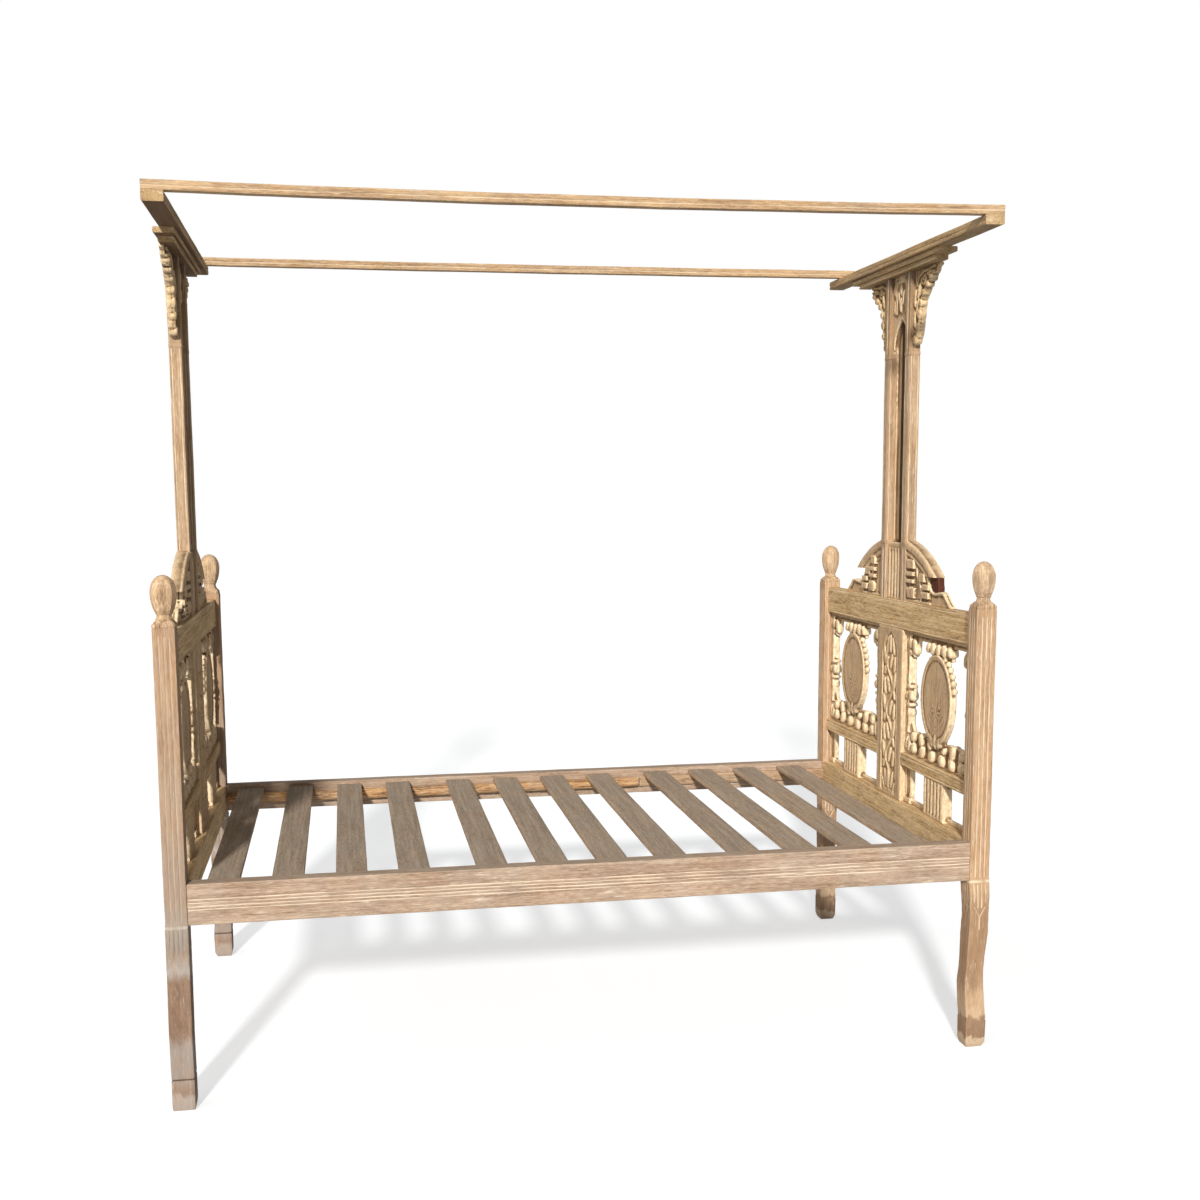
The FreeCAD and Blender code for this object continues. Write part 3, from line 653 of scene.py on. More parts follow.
pole_wood = limed_wood("pole_wood", 0, (0.085, 0.038, 0.016), (0.42, 0.215, 0.085),
                       (0.62, 0.38, 0.18), lime_cream, 0.8, grey_share=0.3, streak=0.5)
low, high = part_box("ledger_back")
pole_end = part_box("slat_08")[1].x + 22.6 * mm
pole_middle = Vector((0, high.y - 3.6 * mm, high.z - 4.0 * mm))
put("back_ledger_pole", round_pole("ledger_pole", low.x, pole_end, pole_middle, 4),
    pole_wood, "root", ["ledger_back"])
cleat_low = Vector((pole_end + 2 * mm, high.y - 3 * mm, low.z))
put("back_ledger_cleat", stick("ledger_cleat", cleat_low, high, 0, 8, [], per_face=7),
    ledger_wood, "root", [])

# ------------------------------------------------------------------ slats
# Twelve loose planks in three groups of four, laid across on the ledgers. Their tops
# have gone grey and rough; their sawn edges are still tan. One node tree makes each.
slat_wood = limed_wood("slat_teak", 1, (0.18, 0.105, 0.06), (0.40, 0.27, 0.175),
                       (0.62, 0.45, 0.29), lime_cream, 0.45, grey_share=0.25, top_grey=0.86,
                       relief=0.5)


def start_tree(name, sockets):
    """Node tree with named inputs, its input node, and a way to close it off."""
    tree = bpy.data.node_groups.new(name, "GeometryNodeTree")
    tree.interface.new_socket(name="Geometry", in_out="OUTPUT", socket_type="NodeSocketGeometry")
    graph = Graph(tree)
    given, result = graph.add("NodeGroupInput"), graph.add("NodeGroupOutput")
    for label, kind, value in sockets + (("Finish", "Material", None),):
        socket = tree.interface.new_socket(name=label, in_out="INPUT", socket_type="NodeSocket" + kind)
        if value is not None:
            socket.default_value = value

    def close(shape):
        real = graph.add("GeometryNodeRealizeInstances", {"Geometry": shape})
        finish = graph.add("GeometryNodeSetMaterial", {
            "Geometry": real.outputs["Geometry"], "Material": given.outputs["Finish"]})
        graph.feed(result, {"Geometry": finish.outputs["Geometry"]})
        return tree

    return graph, given.outputs, close


def plank_tree():
    """A hand-sawn plank: a fine grid block whose skin wanders by slow noise."""
    graph, given, close = start_tree("hand_sawn_plank", (
        ("Size", "Vector", (0.0187, 0.26, 0.0034)), ("Waviness", "Float", 0.0003), ("Seed", "Float", 0.0)))
    block = graph.add("GeometryNodeMeshCube", {
        "Vertices X": 8, "Vertices Y": 66, "Vertices Z": 3, "Size": given["Size"]})
    position = graph.add("GeometryNodeInputPosition").outputs["Position"]
    wander = graph.add("ShaderNodeTexNoise", {
        "Scale": 34.0, "Detail": 2.0, "Vector": position, "W": given["Seed"]}, noise_dimensions="4D")
    centred = graph.add("ShaderNodeVectorMath", {0: wander.outputs["Color"], 1: (0.5, 0.5, 0.5)},
                        operation="SUBTRACT").outputs["Vector"]
    sized = graph.add("ShaderNodeVectorMath", {0: centred, "Scale": given["Waviness"]}, operation="SCALE")
    shift = graph.add("GeometryNodeSetPosition", {
        "Geometry": block.outputs["Mesh"], "Offset": sized.outputs["Vector"]})
    return close(shift.outputs["Geometry"])


def grown(tree, values, worn_edge=0.0):
    """Mesh that a node tree makes from named inputs, with its edges rounded if asked."""
    holder = bpy.data.objects.new("holder", bpy.data.meshes.new("holder"))
    bpy.context.scene.collection.objects.link(holder)
    modifier = holder.modifiers.new("shape", "NODES")
    modifier.node_group = tree
    for item in tree.interface.items_tree:
        if item.in_out == "INPUT" and item.name in values:
            modifier[item.identifier] = values[item.name]
    if worn_edge > 0:
        bevel = holder.modifiers.new("worn_edges", "BEVEL")
        bevel.width = worn_edge
        bevel.segments = 2
        bevel.limit_method = "ANGLE"
        bevel.angle_limit = math.radians(50)
    graph = bpy.context.evaluated_depsgraph_get()
    mesh = bpy.data.meshes.new_from_object(holder.evaluated_get(graph))
    bpy.data.objects.remove(holder)
    return mesh


plank = plank_tree()
slat_names = sorted(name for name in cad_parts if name.startswith("slat_"))
for number, node in enumerate(slat_names):
    low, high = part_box(node)
    size = high - low - Vector((0.2 * mm, 0.2 * mm, 0.0))
    mesh = grown(plank, {"Size": size, "Waviness": 0.45 * mm, "Seed": 3.1 * number,
                         "Finish": slat_wood}, 0.45 * mm)
    mesh.transform(Matrix.Translation((low + high) / 2))
    put("plank_" + node, smoothed(mesh), slat_wood, "loose_" + node, [node])

# ------------------------------------------------------------------ end frame rails
# Each end is framed between the corner posts: a deep top rail, a thicker bottom rail
# and two short middle rails with a scratched moulding. Tenoned, pegged and limed.
frame_wood = limed_wood("frame_teak", 1, (0.20, 0.105, 0.042), (0.56, 0.37, 0.175),
                        (0.82, 0.60, 0.34), lime_cream, 0.7, grey_share=0.1, top_grey=0.12,
                        streak=0.8)


# the face of a stick across the bed that looks at the mattress, by its number
inner_face = {"left": 1, "right": 3}


def inner_lines(end, lines):
    """Grooves in the inner face of an end's rail: (height from its middle, width, depth) in mm."""
    return [(inner_face[end], -sign[end] * z * mm, width * mm, depth * mm) for z, width, depth in lines]


for number, end in enumerate(ends):
    inner_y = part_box("post_front_left")[1].y
    for kind, lines in (("top", [(8.6, 0.9, 0.35), (-8.4, 1.0, 0.5)]), ("bottom", [])):
        node = f"end_{kind}_rail_{end}"
        low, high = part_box(node)
        low.y, high.y = inner_y, -inner_y
        mesh = stick(node, low, high, 1, 4 + number + len(kind), inner_lines(end, lines), per_face=41)
        put("framed_" + node, mesh, frame_wood, "root", [node])
    node = "end_mid_rails_" + end
    low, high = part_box(node)
    muntin_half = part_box("muntin_" + end)[1].y
    halves = []
    for side in (-1, 1):
        near, far = sorted((side * muntin_half, side * -inner_y))
        halves.append(stick(node, Vector((low.x, near, low.z)), Vector((high.x, far, high.z)), 1,
                            7 + number + side, inner_lines(end, [(2.6, 1.3, 0.9), (-2.8, 1.3, 0.9)]),
                            per_face=29))
    put("framed_" + node, joined(node, halves), frame_wood, "root", [node])

# ------------------------------------------------------------------ carved muntins
# A wide board in the middle of each end, between the top and bottom rails. Its sunk
# field holds a climbing vine under a pointed arch, cut in relief; its edges are reeded.
# a dark brown in the hollows is painted shade in the recesses; the side walls of the carving are painted
# paler, partly bleach and partly painted highlight
carving_wood = limed_wood("carving_teak", 2, (0.23, 0.13, 0.06), (0.54, 0.365, 0.205),
                          (0.76, 0.56, 0.35), (0.165, 0.092, 0.042), 0.9, grey_share=0.2, cut_axis=0,
                          worn_and_lit_tone=(0.90, 0.75, 0.52), worn_and_lit_share=0.95)


class Carving:
    """Closed shapes in one end's own terms, melted into one carved piece.

    across is the distance from the middle of the end, up the height and deep the
    distance from the middle of the bed, all in mm."""

    def __init__(self):
        self.points = []
        self.faces = []
        self.count = 0

    def add(self, points, faces):
        points = np.asarray(points, float)
        self.points.append(points)
        self.faces.extend(tuple(self.count + corner for corner in face) for face in faces)
        self.count += len(points)

    def plate(self, outline, near, far):
        """Flat board cut to an outline of (across, up) corners."""
        size = len(outline)
        points = [(a, u, near) for a, u in outline] + [(a, u, far) for a, u in outline]
        faces = [tuple(range(size)), tuple(reversed(range(size, 2 * size)))]
        faces += [(k, k + size, (k + 1) % size + size, (k + 1) % size) for k in range(size)]
        self.add(points, faces)

    def block(self, across, up, deep):
        (left, right), (low, high) = across, up
        self.plate([(left, low), (right, low), (right, high), (left, high)], *deep)

    def lobe(self, across, up, deep, half_across, half_up, half_deep, turn=0.0, boxy=3.4):
        """Egg-shaped lump, turned in the plane of the board by an angle in degrees."""
        rows, spokes = 9, 14
        points = [(0.0, 0.0, -1.0)]
        for row in range(1, rows):
            tilt = math.pi * row / rows
            for spoke in range(spokes):
                spin = 2 * math.pi * spoke / spokes
                ring = (1 - abs(math.cos(tilt)) ** boxy) ** (1 / boxy)
                points.append((ring * math.cos(spin), ring * math.sin(spin), -math.cos(tilt)))
        points.append((0.0, 0.0, 1.0))
        points = np.array(points) * (half_across, half_up, half_deep)
        c, s = math.cos(math.radians(turn)), math.sin(math.radians(turn))
        turned = np.stack([c * points[:, 0] - s * points[:, 1],
                           s * points[:, 0] + c * points[:, 1], points[:, 2]], 1)
        faces = [(0, 1 + (k + 1) % spokes, 1 + k) for k in range(spokes)]
        for row in range(rows - 2):
            base = 1 + row * spokes
            for k in range(spokes):
                after = (k + 1) % spokes
                faces.append((base + k, base + after, base + spokes + after, base + spokes + k))
        base = 1 + (rows - 2) * spokes
        faces += [(base + k, base + (k + 1) % spokes, len(points) - 1) for k in range(spokes)]
        self.add(turned + (across, up, deep), faces)

    def cord(self, path, radius, deep, flat=1.0, closed=False):
        """Rounded bead along a path of (across, up) points; radius may differ at each."""
        path = np.asarray(path, float)
        count = len(path)
        radii = np.broadcast_to(np.asarray(radius, float), (count,))
        if closed:
            run = np.roll(path, -1, 0) - np.roll(path, 1, 0)
        else:
            run = np.gradient(path, axis=0)
        run = run / np.maximum(np.linalg.norm(run, axis=1), 1e-9)[:, None]
        normal = np.stack([-run[:, 1], run[:, 0]], 1)
        spokes = 10
        points = []
        for number in range(count):
            for spoke in range(spokes):
                spin = 2 * math.pi * spoke / spokes
                step = normal[number] * radii[number] * math.cos(spin)
                points.append((path[number, 0] + step[0], path[number, 1] + step[1],
                               deep + radii[number] * flat * math.sin(spin)))
        self.add(points, tube_faces(spokes, count, closed))

    def row(self, tree, values):
        """A row of like lumps or rods, as a node tree repeats them."""
        mesh = grown(tree, {"Finish": carving_wood, **values})
        points = np.empty(len(mesh.vertices) * 3)
        mesh.vertices.foreach_get("co", points)
        self.add(points.reshape(-1, 3), [tuple(face.vertices) for face in mesh.polygons])
        bpy.data.meshes.remove(mesh)

    def curl(self, across, up, deep, size, turns, thick, start=0.0, way=1):
        """Scroll: a bead wound inwards to an eye."""
        steps = int(16 * turns) + 1
        share = np.linspace(0, 1, steps)
        angle = math.radians(start) + way * share * turns * 2 * math.pi
        reach = size * (1 - 0.78 * share)
        path = np.stack([across + reach * np.cos(angle), up + reach * np.sin(angle)], 1)
        self.cord(path, thick * (1 - 0.35 * share), deep)
        self.lobe(across, up, deep, size * 0.3, size * 0.3, thick * 1.15)

    def mesh(self, name, end, sides, grain_size, rough, seed):
        """Melt the shapes together, once for each side given, on an end (-1 or 1)."""
        points = np.concatenate(self.points) * mm
        every, faces = [], []
        for side in sides:
            first = len(every) * len(points)
            faces += [tuple(first + corner for corner in face) for face in self.faces]
            every.append(np.stack([end * points[:, 2], side * points[:, 0], points[:, 1]], 1))
        raw = bpy.data.meshes.new(name)
        raw.from_pydata(np.concatenate(every).tolist(), [], faces)
        shell = bmesh.new()
        shell.from_mesh(raw)
        bmesh.ops.recalc_face_normals(shell, faces=shell.faces)
        shell.to_mesh(raw)
        shell.free()
        holder = bpy.data.objects.new("holder", raw)
        bpy.context.scene.collection.objects.link(holder)
        melt = holder.modifiers.new("melt", "REMESH")
        melt.mode = "VOXEL"
        melt.voxel_size = grain_size * mm
        soften = holder.modifiers.new("soften", "SMOOTH")
        soften.factor = 0.5
        graph = bpy.context.evaluated_depsgraph_get()
        mesh = bpy.data.meshes.new_from_object(holder.evaluated_get(graph))
        bpy.data.objects.remove(holder)
        weather(mesh, rough * mm, seed)
        return mesh


def row_tree(name, rod):
    """Repeats a rounded lump, or a round rod, at even steps along a line or round an oval."""
    graph, given, close = start_tree(name, (
        ("Count", "Int", 6), ("Middle", "Vector", (0, 0, 0)), ("Step", "Vector", (0, 0, 0)),
        ("Reach", "Vector", (0, 0, 0)), ("First Turn", "Float", 0.0), ("Turn Step", "Float", 0.0),
        ("Size", "Vector", (1, 1, 1))))

    def worked(kind, operation, *inputs):
        return graph.add(kind, dict(enumerate(inputs)), operation=operation).outputs[0]

    line = graph.add("GeometryNodeMeshLine", {"Offset": (0, 0, 0), "Count": given["Count"]})
    index = graph.add("GeometryNodeInputIndex").outputs["Index"]
    turn = worked("ShaderNodeMath", "MULTIPLY_ADD", index, given["Turn Step"], given["First Turn"])
    round_oval = graph.add("ShaderNodeCombineXYZ", {
        "X": worked("ShaderNodeMath", "COSINE", turn), "Y": worked("ShaderNodeMath", "SINE", turn)})
    spot = worked("ShaderNodeVectorMath", "MULTIPLY", round_oval.outputs["Vector"], given["Reach"])
    spot = worked("ShaderNodeVectorMath", "ADD", spot, given["Middle"])
    along = graph.add("ShaderNodeVectorMath", {0: given["Step"], "Scale": index}, operation="SCALE")
    spot = worked("ShaderNodeVectorMath", "ADD", spot, along.outputs["Vector"])
    placed = graph.add("GeometryNodeSetPosition", {"Geometry": line.outputs["Mesh"], "Position": spot})
    if rod:
        round_rod = graph.add("GeometryNodeMeshCylinder", {"Vertices": 14, "Radius": 1.0, "Depth": 2.0})
        shape = graph.add("GeometryNodeTransform", {
            "Rotation": (math.pi / 2, 0, 0), "Geometry": round_rod.outputs["Mesh"]}).outputs["Geometry"]
    else:
        shape = graph.add("GeometryNodeMeshUVSphere", {"Segments": 12, "Rings": 8}).outputs["Mesh"]
    repeat = graph.add("GeometryNodeInstanceOnPoints", {
        "Points": placed.outputs["Geometry"], "Instance": shape, "Scale": given["Size"]})
    return close(repeat.outputs["Instances"])


bead_row = row_tree("row_of_beads", False)
flute_row = row_tree("row_of_flutes", True)


def weather(mesh, rough, seed):
    """Note where the surface is hollow, and leave a slight hand-cut unevenness."""
    count = len(mesh.vertices)
    spots = np.empty(count * 3)
    mesh.vertices.foreach_get("co", spots)
    spots = spots.reshape(-1, 3)
    edges = np.empty(len(mesh.edges) * 2, np.int64)
    mesh.edges.foreach_get("vertices", edges)
    one, two = edges[0::2], edges[1::2]
    degree = np.bincount(one, minlength=count) + np.bincount(two, minlength=count)
    normals = np.empty(count * 3)
    mesh.vertices.foreach_get("normal", normals)
    normals = normals.reshape(-1, 3)
    averaged = spots.copy()
    for _ in range(10):
        total = np.stack([np.bincount(one, averaged[two, axis], count)
                          + np.bincount(two, averaged[one, axis], count) for axis in range(3)], 1)
        averaged = total / degree[:, None]
    bend = ((averaged - spots) * normals).sum(1)
    hollow = np.clip(bend / (0.22 * mm), -1, 1)
    wave = sum(np.sin(spots @ np.array(way) + seed * turn) for way, turn in (
        ((1900, 700, 1300), 1.3), ((-800, 2100, 900), 2.1), ((600, -1500, 2300), 0.7)))
    spots = spots + normals * (wave / 3 * rough)[:, None]
    mesh.vertices.foreach_set("co", spots.ravel())
    tone = mesh.attributes.new("hollow", "FLOAT", "POINT")
    tone.data.foreach_set("value", hollow.astype(np.float32))
    mesh.update()
    mesh.shade_smooth()


def in_mm(node):
    """A node of an end as spans: across and up as they are, deep outwards. All in mm."""
    low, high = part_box(node)
    deep = sorted((abs(low.x) / mm, abs(high.x) / mm))
    return (low.y / mm, high.y / mm), (low.z / mm, high.z / mm), deep


muntin_edge = 9.0
muntin_sink = 1.5
vine_wave = 5.2
vine_pitch = 17.0


# its hollows are painted a darker tan, which is painted shade in the recesses; the side walls are painted
# paler, partly bleach and partly painted highlight
muntin_wood = limed_wood("muntin_teak", 2, (0.23, 0.13, 0.06), (0.52, 0.35, 0.195),
                         (0.76, 0.56, 0.35), (0.30, 0.185, 0.095), 0.7, grey_share=0.2, cut_axis=0,
                         worn_and_lit_tone=(0.86, 0.70, 0.47), worn_and_lit_share=0.7)


def carve_muntin(end, seed):
    node = "muntin_" + end
    (_, half), _, (face, back) = in_mm(node)
    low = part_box("end_bottom_rail_" + end)[1].z / mm
    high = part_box("end_top_rail_" + end)[0].z / mm
    field = half - muntin_edge
    work = Carving()
    work.block((-half + 0.8, half - 0.8), (low, high), (face + muntin_sink, back))
    for side in (-1, 1):
        work.block(sorted((side * field, side * (half - 0.9))), (low, high), (face, back))
        for reed in (1.0, 2.9, 4.8):
            edge = side * (half - 0.85)
            work.cord([(edge, low), (edge, (low + high) / 2), (edge, high)], 0.85, face + reed)
        # fillet along the edge of the sunk field
        edge = side * (field + 0.4)
        work.cord([(edge, low + 14), (edge, high - 16)], 0.7, face + 0.25)
    # pointed arch at the top and vase at the foot
    arch = [(-field, high - 19), (-field * 0.86, high - 12), (-field * 0.5, high - 6),
            (0, high - 2.6), (field * 0.5, high - 6), (field * 0.86, high - 12), (field, high - 19)]
    work.cord(arch, 1.2, face + 1.4, 1.3)
    for side in (-1, 1):
        work.plate([(side * field, high), (side * field, high - 15), (side * field * 0.8, high - 9),
                    (side * field * 0.4, high - 3.8), (0, high - 1.2), (0, high)],
                   face + 0.1, back)
        work.lobe(side * 5.0, high - 13.5, face + 1.5, 1.6, 7.0, 1.7, side * 12)
    work.lobe(0, high - 12, face + 1.4, 1.8, 7.0, 1.9)
    work.block((-field, field), (low, low + 2.6), (face, back))
    work.block((-field * 0.72, field * 0.72), (low + 2.6, low + 4.6), (face + 0.2, back))
    work.lobe(0, low + 12.5, face + 1.4, 2.8, 8.2, 2.0)
    for side in (-1, 1):
        work.lobe(side * 5.6, low + 12.0, face + 1.5, 1.7, 7.0, 1.7, -side * 16)
        work.lobe(side * 9.6, low + 8.0, face + 1.5, 1.3, 4.2, 1.5, -side * 30)
    # the vine and its long leaves
    foot, head = low + 20.0, high - 22.0
    rise = np.linspace(foot, head, 46)
    work.cord(np.stack([vine_wave * np.sin((rise - foot) * math.pi / vine_pitch), rise], 1),
              1.1, face + 1.0, 1.3)
    side, spot = 1, foot + vine_pitch / 2
    while spot < head:
        edge = side * vine_wave
        work.lobe(edge + side * 3.6, spot + 4.6, face + 0.9, 1.9, 7.2, 1.6, -side * 14)
        work.lobe(-edge * 0.4, spot + 1.5, face + 0.9, 1.7, 6.6, 1.5, side * 20)
        work.lobe(-edge - side * 3.2, spot - 0.5, face + 0.9, 1.8, 6.4, 1.5, side * 8)
        work.lobe(edge + side * 3.0, spot - 5.6, face + 0.9, 1.5, 4.0, 1.4, side * 22)
        side, spot = -side, spot + vine_pitch
    mesh = work.mesh(node, sign[end], (1,), 0.58, 0.12, seed)
    put("vine_" + node, mesh, muntin_wood, "root", [node])


for number, end in enumerate(ends):
    carve_muntin(end, number + 1)

# ------------------------------------------------------------------ carved panels
# Four pierced boards, mirrored about the muntins. Each holds an oval boss in a raised
# double rim, hung from a neck with three leaves, over a row of slanting gadroons.
# The boss and lobes stand well in front of the board, cut from one piece.
gadroon_places = (-37.5, -22.5, -7.5, 7.5, 22.5, 37.5)


def carve_panel(end, side, seed):
    node = f"carved_panel_{side}_{end}"
    across, (bottom, top), (front, back) = in_mm(node)
    inner, outer = sorted(abs(value) for value in across)
    board = back - 2.6
    middle = (inner + outer) / 2
    window_low, window_high = bottom + 17.0, top - 6.0
    draw = np.random.default_rng(seed)

    def nudge(size=0.35):
        return float(draw.uniform(-size, size))

    work = Carving()
    work.block((inner, outer), (top - 6.0, top), (board, back))
    work.block((inner, outer), (bottom, bottom + 13.0), (board, back))
    # top edge of the foot, scalloped under the windows
    scallops = [(inner, bottom + 12)]
    for step in np.linspace(inner + 1, outer - 1, 49):
        bump = 2.0 * abs(math.cos((step - middle) / 15.0 * math.pi))
        scallops.append((step, bottom + 15.2 + bump))
    scallops.append((outer, bottom + 12))
    work.plate(scallops, board, back)
    # the two wavy stiles beside the windows
    for edge, way in ((inner, 1), (outer, -1)):
        wave = [(edge, bottom + 10), (edge, top - 4)]
        for drop, reach in ((4, 10), (7.5, 10.4), (11, 9.6), (14, 7.6), (18, 7.2), (25, 7.8), (33, 7.4),
                            (38, 8.2), (41, 10.2), (44.5, 11.6), (48, 10.4), (51, 8.2), (56, 7.4),
                            (62, 7.6), (67, 9.2), (70, 11.2), (top - bottom - 10, 12)):
            wave.append((edge + way * reach, top - drop + nudge(0.3)))
        work.plate(wave, board, back)
        ridge = edge + way * 6.6
        rise = np.linspace(window_low - 2, top - 3, 30)
        work.cord(np.stack([ridge + 0.5 * way * np.sin(rise * 0.33), rise], 1), 1.25, board, 2.5)
        for out, thick, proud, flat in ((1.3, 0.85, 0.6, 1.6), (3.4, 0.75, 0.3, 1.5)):
            bead = edge + way * out
            work.cord([(bead, bottom), (bead, top)], thick, board - proud, flat)
        work.lobe(ridge + way * 1.6, top - 8.8, board, 3.2, 4.0, 3.9, way * 12)
        work.lobe(ridge + way * 1.0, top - 15.2, board, 2.3, 2.0, 3.2)
        for z in (top - 39.2, top - 52.0):
            work.lobe(ridge + way * 0.6, z, board, 3.4, 1.5, 3.6)
        work.lobe(ridge + way * 2.4, top - 45.4, board, 3.1, 4.0, 3.4, way * 25)
        work.lobe(ridge - way * 2.8, top - 45.6, board, 2.3, 3.4, 3.4, -way * 15)
        work.lobe(ridge + way * 0.4, top - 57.5, board, 1.9, 3.4, 3.4)
        # leaf hanging in the corner of the window
        tip = edge + way * 12.6
        leaf = ((8, 1), (17.4, 1), (16.2, -4.5), (13.6, -9.6), (11.6, -12.6), (9.4, -12.0), (8, -8))
        work.plate([(edge + way * a, window_high + u) for a, u in leaf], board, back)
        work.lobe(tip + way * 0.8, window_high - 4.6, board, 3.0, 6.0, 3.0, way * 16)
        work.lobe(tip - way * 1.4, window_high - 8.2, board, 1.7, 4.2, 2.4, way * 8)
    # head with its leaves
    work.block((middle - 16, middle + 16), (top - 15, top - 3), (board, back))
    for offset, turn in ((-8.6, -12), (0.0, 6), (8.6, 14)):
        work.lobe(middle + offset, top - 8.8 + nudge(), board, 2.9, 4.6, 4.3, turn)
    for offset, turn in ((-16.4, -26), (16.4, 26)):
        work.lobe(middle + offset, top - 8.6, board, 2.4, 4.0, 3.8, turn)
    work.cord([(inner, top - 1.6), (outer, top - 1.6)], 1.1, board)
    # oval boss with a thin double rim
    boss_up = window_low - 2 + 30.0
    rim_across, rim_up = 23.5, 30.0

    def oval(less_across, less_up):
        return circle(56) * (rim_across - less_across, rim_up - less_up) + (middle, boss_up)

    work.plate(oval(0.2, 0.2), front + 1.0, front + 5)
    work.cord(oval(2.3, 2.4), 0.6, front + 0.9, closed=True)
    work.cord(oval(0.8, 0.8), 0.8, front + 1.0, closed=True)
    # shallow arcs in the field: a vase, its stem and a pair of scrolls
    drawn = front + 1.2
    vase = [(0, -20), (-3.6, -19), (-5.6, -15.5), (-4.2, -12), (-2.0, -10), (-3.0, -8.2)]
    for way in (-1, 1):
        work.cord([(middle - way * a, boss_up + u) for a, u in vase], 0.5, drawn)
        start = 250 if way > 0 else -70
        work.curl(middle + way * 5.4, boss_up - 4.5, drawn, 3.8, 1.0, 0.5, start, way)
        work.lobe(middle + way * 2.8, boss_up + 11.0, drawn, 0.8, 4.4, 0.45, -way * 18)
        work.lobe(middle + way * 9.6, boss_up - 13.5, drawn, 0.9, 4.4, 0.5, -way * 38)
    stem = [(middle, boss_up - 10), (middle + 0.6, boss_up), (middle - 0.3, boss_up + 9)]
    work.cord(stem, 0.5, drawn)
    # strings of beads in the edge of the boss, at its shoulders
    for start in (16, 122):
        work.row(bead_row, {
            "Count": 6, "Middle": (middle, boss_up, front + 3.4),
            "Reach": (rim_across + 0.4, rim_up + 0.4, 0.0), "First Turn": math.radians(start),
            "Turn Step": math.radians(10), "Size": (2.0, 2.2, 2.1)})
    # gadroons
    for offset in gadroon_places:
        way = 1 if offset > 0 else -1
        place = middle + offset
        if abs(offset) > 30:
            work.lobe(place, bottom + 5.8, board, 3.7, 4.0, 4.2)
            work.lobe(place + way * 0.6, bottom + 13.6, board, 3.2, 3.6, 4.0)
            work.lobe(place + way * 7.2, bottom + 7.6, board, 2.3, 6.4, 3.4, way * 8)
            work.lobe(place + way * 12.4, bottom + 7.0, board, 1.9, 5.6, 3.0, way * 8)
        elif abs(offset) > 15:
            work.lobe(place + way * 0.8, bottom + 5.6, board, 3.1, 4.8, 4.3, way * 20)
            work.lobe(place + way * 1.8, bottom + 13.2, board, 2.7, 5.2, 4.0, -way * 12)
        else:
            work.lobe(place + way * 0.3, bottom + 5.2, board, 3.6, 4.4, 4.3, way * 24)
            work.lobe(place + way * 3.4, bottom + 12.0, board, 2.1, 3.0, 3.6, -way * 35)
    # three leaves that carry the boss
    for offset, turn, size in ((-5.6, 26, 4.6), (0.0, 0, 5.8), (5.6, -26, 4.6)):
        work.lobe(middle + offset, bottom + 17.0, board - 1.0, 2.1, size, 3.6, turn)
    work.cord([(inner, bottom + 0.6), (outer, bottom + 0.6)], 0.9, board)
    mesh = work.mesh(node, sign[end], (sign[side],), 0.53, 0.12, seed)
    put("pierced_" + node, mesh, carving_wood, "root", [node])


for number, (end, side) in enumerate(corner_names):
    carve_panel(end, side, number + 11)

# ------------------------------------------------------------------ lower boards
# Under each middle rail a low board is pierced by two small windows, with a fluted
# block standing proud between them and a little ledge at the foot of each stile.
plinth_half = 15.75
flute_count = 6


def carve_plinth(end, seed):
    node = "plinth_panels_" + end
    (_, outer), (low, high), (front, back) = in_mm(node)
    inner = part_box("muntin_" + end)[1].y / mm
    board = back - 3.0
    middle = (inner + outer) / 2
    work = Carving()
    work.block((inner, outer), (low, low + 3.0), (board, back))
    work.block((inner, outer), (high - 1.5, high), (board, back))
    for left, right in ((inner, inner + 10), (outer - 10, outer)):
        work.block((left, right), (low, high), (board, back))
        work.block((left + 0.2, right + 0.6 if left == inner else right), (low + 0.4, low + 4.0),
                   (board - 1.9, back - 1))
        work.cord([(left + 1.6, low), (left + 1.6, high)], 0.8, board)
        work.cord([(right - 1.6, low), (right - 1.6, high)], 0.8, board)
    work.block((middle - plinth_half, middle + plinth_half), (low, high), (front + 1.5, back))
    pitch = 2 * plinth_half / flute_count
    work.row(flute_row, {
        "Count": flute_count, "Middle": (middle - plinth_half + pitch / 2, (low + high) / 2, front + 2.1),
        "Step": (pitch, 0.0, 0.0), "Size": (pitch * 0.46, (high - low) / 2, pitch * 0.42)})
    work.block((middle - plinth_half, middle + plinth_half), (low, low + 2.2), (front + 0.1, back))
    mesh = work.mesh(node, sign[end], (-1, 1), 0.58, 0.12, seed)
    put("fluted_" + node, mesh, carving_wood, "root", [node])


for number, end in enumerate(ends):
    carve_plinth(end, number + 21)

# ------------------------------------------------------------------ twin canopy posts
# Two slim square posts rise side by side from the middle of each top rail to the cap
# beam. A shallow line is scratched down both edges of every face.
# the slim posts darken towards their heads, to nearly black just under the cap beam, and are a little
# greyer in the middle
canopy_tones_by_height = [
    (0, (0.3, 0.2, 0.1), 0.0), (300, (0.36, 0.30, 0.24), 0.25), (440, (0.36, 0.30, 0.24), 0.15),
    (452, (0.30, 0.19, 0.095), 0.55), (485, (0.24, 0.15, 0.075), 0.75), (500, (0.09, 0.07, 0.055), 0.9)]
canopy_wood = limed_wood("canopy_teak", 2, (0.18, 0.095, 0.045), (0.41, 0.255, 0.14),
                         (0.64, 0.45, 0.275), lime_cream, 0.75, grey_share=0.22, stains=canopy_tones_by_height)
post_base_height = 41.0 * mm
capital_height = 56.0 * mm


